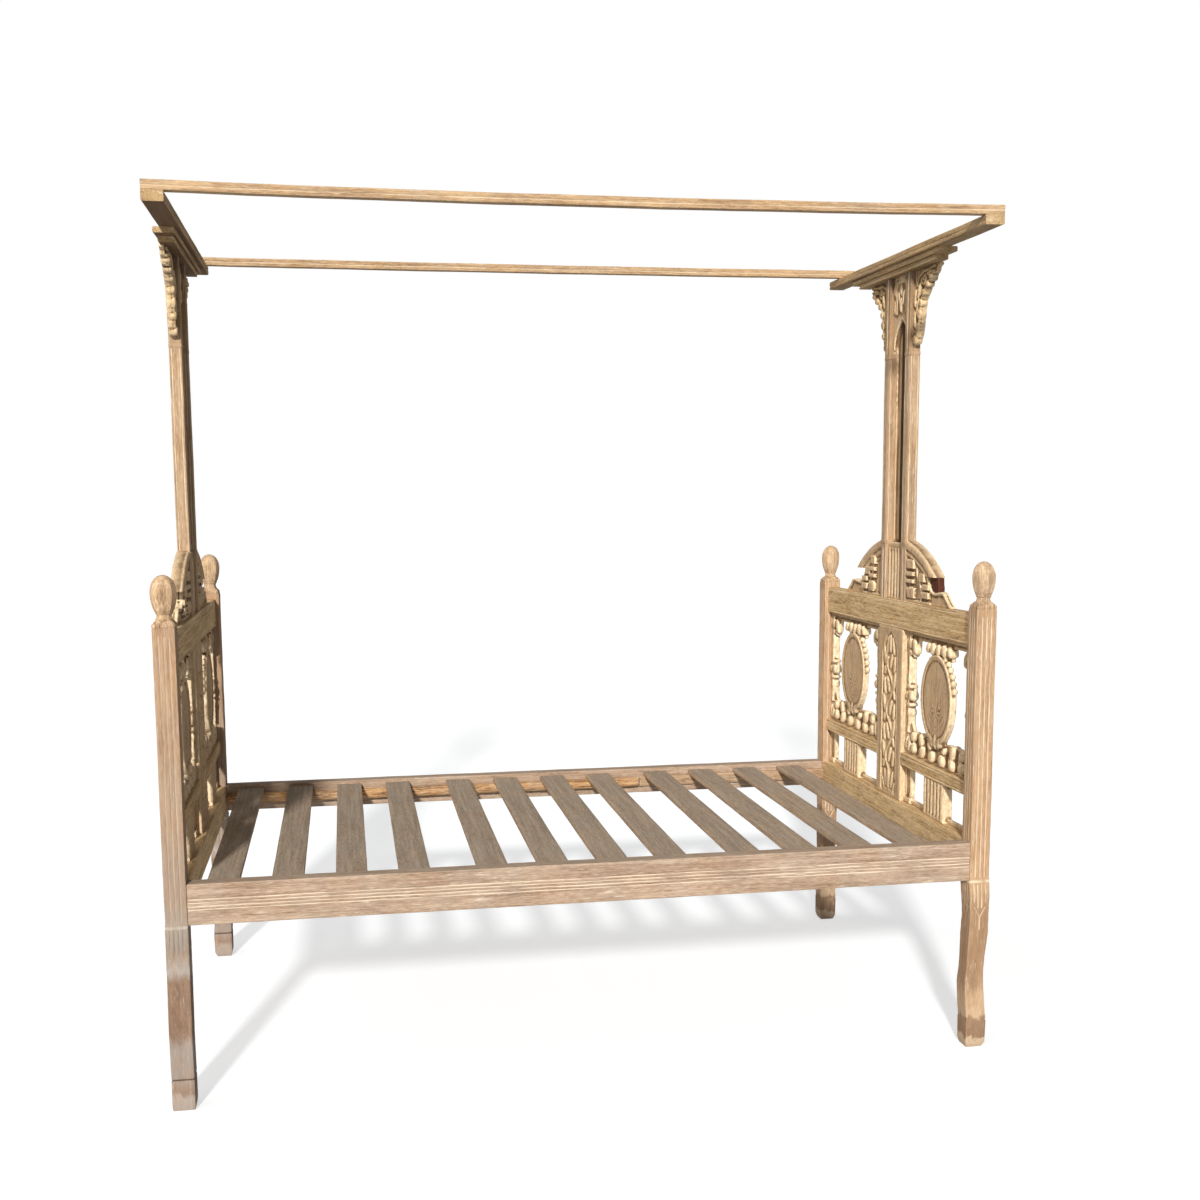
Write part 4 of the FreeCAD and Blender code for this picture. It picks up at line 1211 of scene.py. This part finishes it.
def slim_post_mesh(name, low, high, seed):
    """Square post with a thicker base and head, each closed by a small ledge."""
    base, head = low.z + post_base_height, high.z - capital_height
    levels = [low.z, base - 2.2 * mm, base - 2.0 * mm, base - 0.2 * mm, base, head, head + 0.2 * mm,
              head + 2.0 * mm, head + 2.2 * mm, high.z]
    thick = [0.99, 0.99, 1.04, 1.04, 0.975, 0.975, 1.02, 1.02, 0.985, 0.985]
    more = list(np.linspace(low.z, high.z, 60))
    stations = sorted(set(levels + more))
    share = np.interp(stations, levels, thick)
    half_x, half_y = (high.x - low.x) / 2, (high.y - low.y) / 2
    centre = (low + high) / 2
    rings, hollows = [], []
    for z, part in zip(stations, share):
        lines = []
        if base < z < head:
            for face in range(4):
                for place in (-2.5, 2.5):
                    lines.append((face, place * mm + sway(z, seed + face, 0.12 * mm), 0.8 * mm, 0.3 * mm))
        elif z > head + 3 * mm or z < base - 3 * mm:
            for face in range(4):
                lines.append((face, 0.0, 2.6 * mm, 0.6 * mm))
        ring, tone = square_ring(half_x * part, half_y * part, 0.45 * mm, lines, 25)
        rings.append(ring)
        hollows.append(tone)

    def place(a, b, number):
        z = stations[number]
        return (centre.x + a + sway(z, seed, 0.12 * mm), centre.y + b + sway(z, seed + 3, 0.12 * mm), z)

    return mesh_from_rings(name, rings, hollows, place)


for number, (end, side) in enumerate(corner_names):
    node = f"canopy_post_{side}_{end}"
    low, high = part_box(node)
    low.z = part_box("end_top_rail_" + end)[1].z
    high.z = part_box("cap_beam_" + end)[0].z
    mesh = slim_post_mesh(node, low, high, 5 + 2 * number)
    put("slim_" + node, mesh, canopy_wood, "root", [node])

# ------------------------------------------------------------------ slot boards
# A thin board lies behind the slot between each pair of slim posts. In the crest it is
# thick and fluted; under the cap it is cut to a pointed arch with a hanging leaf.
slot_flutes = 5


def carve_slot_board(end, seed):
    node = "slot_board_" + end
    (_, half), (low, high), (front, back) = in_mm(node)
    work = Carving()
    # fluted panel in the crest with a bridging block over it
    crest_top = low + 40.0
    work.block((-half, half), (low, crest_top), (front + 1.7, back))
    pitch = 2 * half / slot_flutes
    work.row(flute_row, {
        "Count": slot_flutes, "Middle": (-half + pitch / 2, (low + crest_top - 4) / 2, front + 1.8),
        "Step": (pitch, 0.0, 0.0), "Size": (pitch * 0.44, (crest_top - 4 - low) / 2, pitch * 0.42)})
    work.block((-half, half), (crest_top - 5.4, crest_top), (front + 0.1, back))
    work.block((-half, half), (low, low + 1.6), (front, back))
    # pointed arch and its carving below the cap
    arch_top = high - 29.5
    arch_foot = arch_top - 21.0
    shape = [(-half, high), (-half, arch_foot)]
    for share in np.linspace(0, 1, 9)[1:]:
        bend = math.radians(62 * share)
        shape.append((-half * (1 - (1 - math.cos(bend)) / (1 - math.cos(math.radians(62)))),
                      arch_foot + 21.0 * math.sin(bend) / math.sin(math.radians(62))))
    shape += [(-a, u) for a, u in reversed(shape[2:-1])] + [(half, arch_foot), (half, high)]
    work.plate(shape, front + 1.2, back)
    rim = [(a * 0.94, u + 0.8) for a, u in shape[1:-1]]
    work.cord(rim, 0.7, front + 1.5)
    work.lobe(0, arch_top + 9.5, front + 1.2, 1.9, 5.2, 1.7)
    for side in (-1, 1):
        work.lobe(side * 3.6, arch_top + 14.5, front + 1.3, 1.3, 5.6, 1.4, -side * 14)
        work.cord([(side * 7.6, arch_top + 4), (side * 7.0, arch_top + 12), (side * 8.4, arch_top + 20),
                   (side * 7.4, arch_top + 26)], 1.2, front + 1.2)
        work.lobe(side * 10.6, arch_top + 9.0, front + 1.3, 1.3, 5.2, 1.4, side * 8)
        work.lobe(side * 10.8, arch_top + 20.0, front + 1.3, 1.3, 4.6, 1.4, -side * 8)
        # thin board behind the slot, and a narrow carved bead down each of its edges
        work.block(sorted((0, side * half)), (crest_top - 1, arch_foot + 22), (back - 1.0, back))
        rise = np.linspace(crest_top, arch_foot + 3, 90)
        swell = 0.75 + 0.22 * np.sin(rise * 1.15) * np.clip((rise - (arch_foot - 45)) / 10, 0, 1)
        work.cord(np.stack([np.full(90, side * (half - 0.5)), rise], 1), swell, back - 1.6)
    work.lobe(0, arch_top + 20.0, front + 1.3, 1.6, 4.4, 1.5)
    work.block((-4.6, 4.6), (high - 5.0, high), (front + 0.2, back))
    mesh = work.mesh(node, sign[end], (1,), 0.6, 0.04, seed)
    put("carved_" + node, mesh, carving_wood, "root", [node])


for number, end in enumerate(ends):
    carve_slot_board(end, number + 31)

# ------------------------------------------------------------------ crest boards
# Boards with ogee shoulders stand on the top rail each side of the slim posts, inside
# the arch. Stepped blocks and a curled leaf are cut on them in high relief.


def carve_crest(end, seed):
    node = "crest_board_" + end
    _, (low, _), (front, back) = in_mm(node)
    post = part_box("canopy_post_back_" + end)[1].y / mm
    cut = in_mm("crest_arch_" + end)[1][0]
    step = low + 9.5
    halves = []
    for side in (-1, 1):
        work = Carving()
        outline = [(post, low), (92.0, low), (90.6, low + 1.2), (88.4, low + 2.6), (85.4, low + 5.0),
                   (83.2, low + 7.0), (81.6, low + 8.6), (79.6, step), (77.2, step + 0.5),
                   (74.6, step + 0.4), (71.4, step - 0.2), (67.4, step - 0.8), (64, step - 0.6),
                   (61.2, step + 0.6), (58.4, step + 3.6), (55.6, step + 6.8), (53.5, cut)]
        inside = arch_inside(end)
        outline += inside + [(post, inside[-1][1])]
        work.plate(outline, front + 0.9, back)
        # the raised border along the top of the shoulder
        shoulder = [(91.0, low + 0.8), (85.0, low + 5.0), (81.4, low + 8.4), (77.4, step - 0.8),
                    (72.6, step - 1.3), (66, step - 1.9), (61.0, step - 0.6), (54.4, cut - 0.8)]
        work.cord(shoulder, 1.0, front + 0.6, 1.2)
        for foot, top in ((23.2, 29.2), (18.0, 20.8), (13.0, 15.6)):
            left, right = (23.4, 34.2) if side < 0 else (35.0, 45.4)
            if top > 29:
                right += 1.2
                if side > 0:
                    left, right = 34.4, 42.0
            work.block((left, right), (low + foot, low + top), (front - 1.9, back))
        left, right = (23.6, 36.5) if side < 0 else (35.0, 46.0)
        work.lobe((left + right) / 2, low + 6.6, front, (right - left) / 2, 4.2, 2.1)
        work.block((left + 2, right - 0.4), (low + 3.0, low + 10.0), (front - 1.7, back))
        for near, far, foot, top in ((44.5, 52.4, 15.0, 20.6), (50, 59.4, 9.8, 13.4),
                                     (50, 60.0, 4.0, 8.2)):
            work.block((near, far), (low + foot, low + top), (front - 1.8, back))
        leaf = ((46, 1.5), (46.6, 8), (43.6, 13.6), (39.0, 18.4), (38, 24))
        work.cord([(a, low + u) for a, u in leaf], 1.0, front + 0.6, 1.4)
        work.block((post, 60), (low, low + 1.6), (front - 0.4, back))
        halves.append(work.mesh(node, sign[end], (side,), 0.45, 0.10, seed + side))
    put("ogee_" + node, joined(node, halves), carving_wood, "root", [node])


def arch_circle(end):
    """Middle height and outer radius of the arch, from its box and the slim posts."""
    (_, half), (foot, worn_crowns_and_lit_walls), _ = in_mm("crest_arch_" + end)
    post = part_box("canopy_post_back_" + end)[1].y / mm
    centre = (half ** 2 + foot ** 2 - post ** 2 - worn_crowns_and_lit_walls ** 2) / (2 * (foot - worn_crowns_and_lit_walls))
    return centre, math.hypot(half, foot - centre)


def arch_inside(end):
    """Underside of the arch, from its sawn foot up to the slim post."""
    centre, radius = arch_circle(end)
    inner = radius - 13.8
    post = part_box("canopy_post_back_" + end)[1].y / mm
    foot = in_mm("crest_arch_" + end)[1][0]
    start = math.sqrt(inner ** 2 - (foot - centre) ** 2)
    return [(a, centre + math.sqrt(inner ** 2 - a ** 2) + 0.4) for a in np.linspace(start, post, 18)]


for number, end in enumerate(ends):
    carve_crest(end, number + 41)

# ------------------------------------------------------------------ crest arch
# A segmental moulding in two quarters springs over the crest boards up to the slim
# posts. Its face is stepped in rounds and hollows; the feet are sawn off level.
# At one sawn foot on the right a thin, nearly black red plate is painted shadow, put where
# that foot stands in shade.
arch_profile = [
    (0.0, 2.4), (0.3, 1.0), (1.0, 0.3), (2.2, 0.05), (4.6, 0.1), (5.4, 0.5), (5.8, 1.4), (6.2, 1.9),
    (7.0, 1.9), (7.5, 1.3), (8.3, 0.9), (9.4, 1.0), (10.0, 1.7), (10.4, 2.4), (11.2, 2.4),
    (11.8, 1.9), (12.8, 1.9), (13.5, 2.4), (13.8, 3.4)]


def arch_mesh(end, side, seed):
    node = "crest_arch_" + end
    _, (cut, _), (front, back) = in_mm(node)
    centre, radius = arch_circle(end)
    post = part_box("canopy_post_back_" + end)[1].y / mm
    # outline of the section: distance in from the outer edge, and depth from the front
    face = np.array(arch_profile)
    fine = np.linspace(0, len(face) - 1, 61)
    face = np.stack([np.interp(fine, range(len(face)), line) for line in face.T], 1)
    rear = [(inset, back - front) for inset in (13.8, 9.2, 4.6, 0.0)]
    outline = np.concatenate([face, rear])
    hollow_line = np.zeros(len(outline))
    deepness = np.interp(face[:, 1], (0.0, 2.8), (-0.6, 1.0))
    blurred = np.convolve(np.pad(deepness, 4, "edge"), np.ones(9) / 9, "valid")
    hollow_line[:len(face)] = deepness - blurred * 0.6
    stations = 44
    rings, hollows = [], []
    for share in np.linspace(0, 1, stations):
        ring = []
        for inset, depth in outline:
            reach = radius - inset
            # every line of the moulding runs from the level cut up to the side of the post
            start = math.asin(min(1.0, (cut - centre) / reach))
            stop = math.acos(post / reach)
            angle = start + (stop - start) * share
            wobble = 1 + 0.0006 * math.sin(37 * angle + seed)
            ring.append((reach * math.cos(angle) * wobble, centre + reach * math.sin(angle) * wobble,
                         front + depth))
        rings.append(ring)
        hollows.append(hollow_line)
    every = np.array(rings).reshape(-1, 3)
    verts = np.stack([sign[end] * every[:, 2], side * every[:, 0], every[:, 1]], 1) * mm
    return closed_mesh(node, verts.tolist(), tube_faces(len(outline), stations), np.concatenate(hollows))


for number, end in enumerate(ends):
    halves = [arch_mesh(end, side, number + side) for side in (-1, 1)]
    node = "crest_arch_" + end
    put("moulded_" + node, joined(node, halves), carving_wood, "root", [node])

# painted shadow: a nearly black red plate at the right sawn foot of the arch
foot_shadow_wood = limed_wood("painted_foot_shadow", 2, (0.030, 0.008, 0.004), (0.075, 0.021, 0.011),
                      (0.13, 0.042, 0.022), (0.2, 0.1, 0.06), 0.15)
foot_across, foot_up, foot_deep = in_mm("crest_arch_right")
work = Carving()
outer = foot_across[1]
stump = ((-11.4, 0.6), (-0.4, 0.6), (-0.2, -3), (0.6, -6.5), (1.0, -10.6), (-10.6, -10.6), (-11.2, -5))
work.plate([(outer + a, foot_up[0] + u) for a, u in stump], foot_deep[1] - 5.0, foot_deep[1] - 0.4)
put("arch_foot_shadow_plate", work.mesh("arch_foot_shadow_plate", sign["right"], (-1,), 0.4, 0.08, 3),
    foot_shadow_wood, "root", [])
# painted shadow for the slot between each pair of slim posts
slot_shadow_wood = limed_wood("painted_slot_shadow", 2, (0.022, 0.012, 0.007), (0.055, 0.032, 0.018),
                       (0.11, 0.065, 0.036), (0.2, 0.14, 0.09), 0.15)
for number, end in enumerate(ends):
    # a nearly black strip down the middle of the slot is painted shadow, the shade between the slim posts
    low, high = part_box("slot_board_" + end)
    outer = max(abs(low.x), abs(high.x))
    faces = sorted((sign[end] * (outer - 1.5 * mm), sign[end] * (outer - 0.6 * mm)))
    strip = stick("slot_shadow_strip", Vector((faces[0], -5.8 * mm, low.z + 39 * mm)),
                  Vector((faces[1], 5.8 * mm, high.z - 28 * mm)), 2, 3 + number, [], arris=0.2 * mm,
                  wander=0.02 * mm)
    put("slot_shadow_strip_" + end, strip, slot_shadow_wood, "root", [])

# ------------------------------------------------------------------ capital brackets
# Beside the head of every slim post a stepped bracket reaches out under the cap beam.
# It is a thin board carved with square blocks, leaves and an S-shaped scroll.
bracket_edge = [(0, 0.0), (4.2, 2.6), (7.6, 5.2), (8.6, 8.0), (9.4, 12.0), (10.2, 15.0), (11.2, 20.0),
                (12.2, 26.0), (13.2, 29.0), (16.4, 32.0), (19.4, 34.6), (20.6, 37.0), (23.0, 39.0),
                (28.0, 39.8), (28.6, 42.6), (32.6, 44.8), (33.4, 47.2), (36.8, 48.4), (37.0, 50.0)]
# a dark brown in the hollows is painted shade in the recesses; the side walls of the carving are painted
# paler, partly bleach and partly painted highlight
capital_wood = limed_wood("capital_teak", 2, (0.14, 0.072, 0.028), (0.42, 0.26, 0.12),
                          (0.62, 0.42, 0.21), (0.13, 0.07, 0.03), 0.95, grey_share=0.15, cut_axis=0,
                          worn_and_lit_tone=(0.84, 0.68, 0.45), worn_and_lit_share=0.75)


def carve_bracket(end, side, seed):
    node = f"bracket_{side}_{end}"
    across, (foot, _), (_, back) = in_mm(node)
    post = min(abs(value) for value in across)
    board = back - 2.9
    work = Carving()
    outline = [(post + a, foot + u) for a, u in bracket_edge] + [(post, foot + 50.0)]
    work.plate(outline, board, back)
    # the thick carved border, swelling into knobs
    border = [(post + a - 1.5, foot + u + 0.8) for a, u in bracket_edge[1:-3]]
    work.cord(border, 1.4, board, 1.6)
    for a, u, wide, tall in ((3.6, 3.6, 2.9, 3.2), (8.0, 12.0, 2.2, 2.6), (9.4, 20.0, 2.4, 3.6),
                             (11.4, 27.2, 2.2, 2.6), (15.4, 33.6, 2.6, 2.4), (21.4, 38.0, 2.8, 2.2),
                             (27.0, 42.4, 2.6, 2.0)):
        work.lobe(post + a, foot + u, board, wide, tall, 3.0, 0, 4.0)
    # leaves inside the border and the scroll under the cap
    work.lobe(post + 2.4, foot + 17.5, board, 1.3, 6.4, 2.8, -4)
    work.lobe(post + 2.8, foot + 31.0, board, 1.4, 6.6, 2.8, -5)
    work.lobe(post + 6.4, foot + 25.0, board, 1.4, 6.0, 2.6, -12)
    work.lobe(post + 8.4, foot + 35.4, board, 1.6, 6.0, 2.9, -22)
    work.curl(post + 14.6, foot + 42.4, board - 0.8, 3.8, 1.3, 1.2, 160, 1)
    work.lobe(post + 24.0, foot + 45.0, board, 3.4, 1.6, 2.6, 18)
    work.cord([(post + 3.0, foot + 39), (post + 6.4, foot + 45.0), (post + 13.6, foot + 47.8),
               (post + 22.0, foot + 47.6), (post + 31.0, foot + 48.9)], 1.0, board - 0.4, 1.3)
    mesh = work.mesh(node, sign[end], (sign[side],), 0.42, 0.10, seed)
    put("scrolled_" + node, mesh, capital_wood, "root", [node])


for number, (end, side) in enumerate(corner_names):
    carve_bracket(end, side, number + 51)

# ------------------------------------------------------------------ cap beams
# A stepped beam lies across the heads of each pair of slim posts and their brackets.
# Its inner face is moulded with a cove between two fillets. The undersides carry painted
# shade, strong at the left end and light at the right.
cap_wood = {end: limed_wood("cap_teak_" + end, 1, (0.12, 0.062, 0.025), (0.42, 0.27, 0.125),
                            (0.64, 0.44, 0.22), lime_cream, 0.5, grey_share=0.2, under_shade=dark)
            for end, dark in (("left", 0.85), ("right", 0.2))}
cap_step, cap_inset, cap_setback = 3.5 * mm, 1.5 * mm, 10 * mm
for number, end in enumerate(ends):
    node = "cap_beam_" + end
    low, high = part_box(node)
    step = low.z + cap_step
    upper = stick(node, Vector((low.x, low.y, step)), high, 1, 3 + number,
                  inner_lines(end, [(0.0, 1.2, 0.5)]), per_face=21)
    lower = stick(node, low + Vector((cap_inset, cap_setback, 0)),
                  Vector((high.x - cap_inset, high.y - cap_setback, step)), 1, 6 + number,
                  [(inner_face[end], 0.2 * mm, 1.4 * mm, 0.7 * mm)], per_face=21)
    put("stepped_" + node, joined(node, [upper, lower]), cap_wood[end], "root", [node])

# ------------------------------------------------------------------ tester boards
# Two boards lie across the cap beams and carry the long sticks of the tester. The whole
# tester frame lifts off. Planed soft edges and a scratched line on the inner side.
# both boards carry painted shade on the faces turned downwards, strong at the left end and light at the
# right
tester_wood = {end: limed_wood("tester_teak_" + end, 1, (0.12, 0.062, 0.025), (0.40, 0.26, 0.125),
                               (0.62, 0.43, 0.22), lime_cream, 0.45, grey_share=0.2, under_shade=dark)
               for end, dark in (("left", 0.9), ("right", 0.3))}
# the left board is sawn off at the back stick, the right one runs on past it
past_back_rail = {"left": 0.4 * mm, "right": 15.0 * mm}
for number, end in enumerate(ends):
    node = "tester_board_" + end
    low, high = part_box(node)
    high.y = min(high.y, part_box("tester_rail_back")[1].y + past_back_rail[end])
    mesh = stick(node, low, high, 1, 9 + number, [(inner_face[end], 0.6 * mm, 1.0 * mm, 0.5 * mm)],
                 per_face=21, arris=0.8 * mm)
    put("long_" + node, mesh, tester_wood[end], "tester", [node])

# ------------------------------------------------------------------ tester rails
# The two long sticks are halved over the boards and pinned. They have dried a little
# out of true and sag in the middle. The pin heads show as small dark dots on top.
tester_rail_wood = limed_wood("tester_rail_teak", 0, (0.14, 0.072, 0.032), (0.43, 0.27, 0.145),
                              (0.66, 0.47, 0.275), lime_cream, 0.6, grey_share=0.25)
for number, (side, sag) in enumerate((("front", 1.7 * mm), ("back", 0.6 * mm))):
    node = "tester_rail_" + side
    low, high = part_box(node)
    mesh = stick(node, low, high, 0, 12 + number, [(3, 0.3 * mm, 0.9 * mm, 0.35 * mm)],
                 sag=sag, per_face=15)
    put("sagging_" + node, mesh, tester_rail_wood, "tester", [node])

pin_wood = limed_wood("pin_oak", 2, (0.05, 0.025, 0.012), (0.13, 0.07, 0.035),
                      (0.24, 0.14, 0.08), lime_cream, 0.2)
pins = []
for end in ends:
    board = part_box("tester_board_" + end)
    for side in ("front", "back"):
        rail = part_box("tester_rail_" + side)
        x, y = (board[0].x + board[1].x) / 2, (rail[0].y + rail[1].y) / 2
        top = rail[1].z
        heights = (top - 8 * mm, top - 0.5 * mm, top - 0.05 * mm)
        rings = [radius * mm * circle(16) for radius in (1.05, 1.05, 0.85)]
        pins.append(mesh_from_rings("pin", rings, [np.zeros(16)] * 3,
                                    lambda a, b, level: (x + a, y + b, heights[level])))
put("pin_heads", joined("pin_heads", pins), pin_wood, "tester", ["tester_pins"])
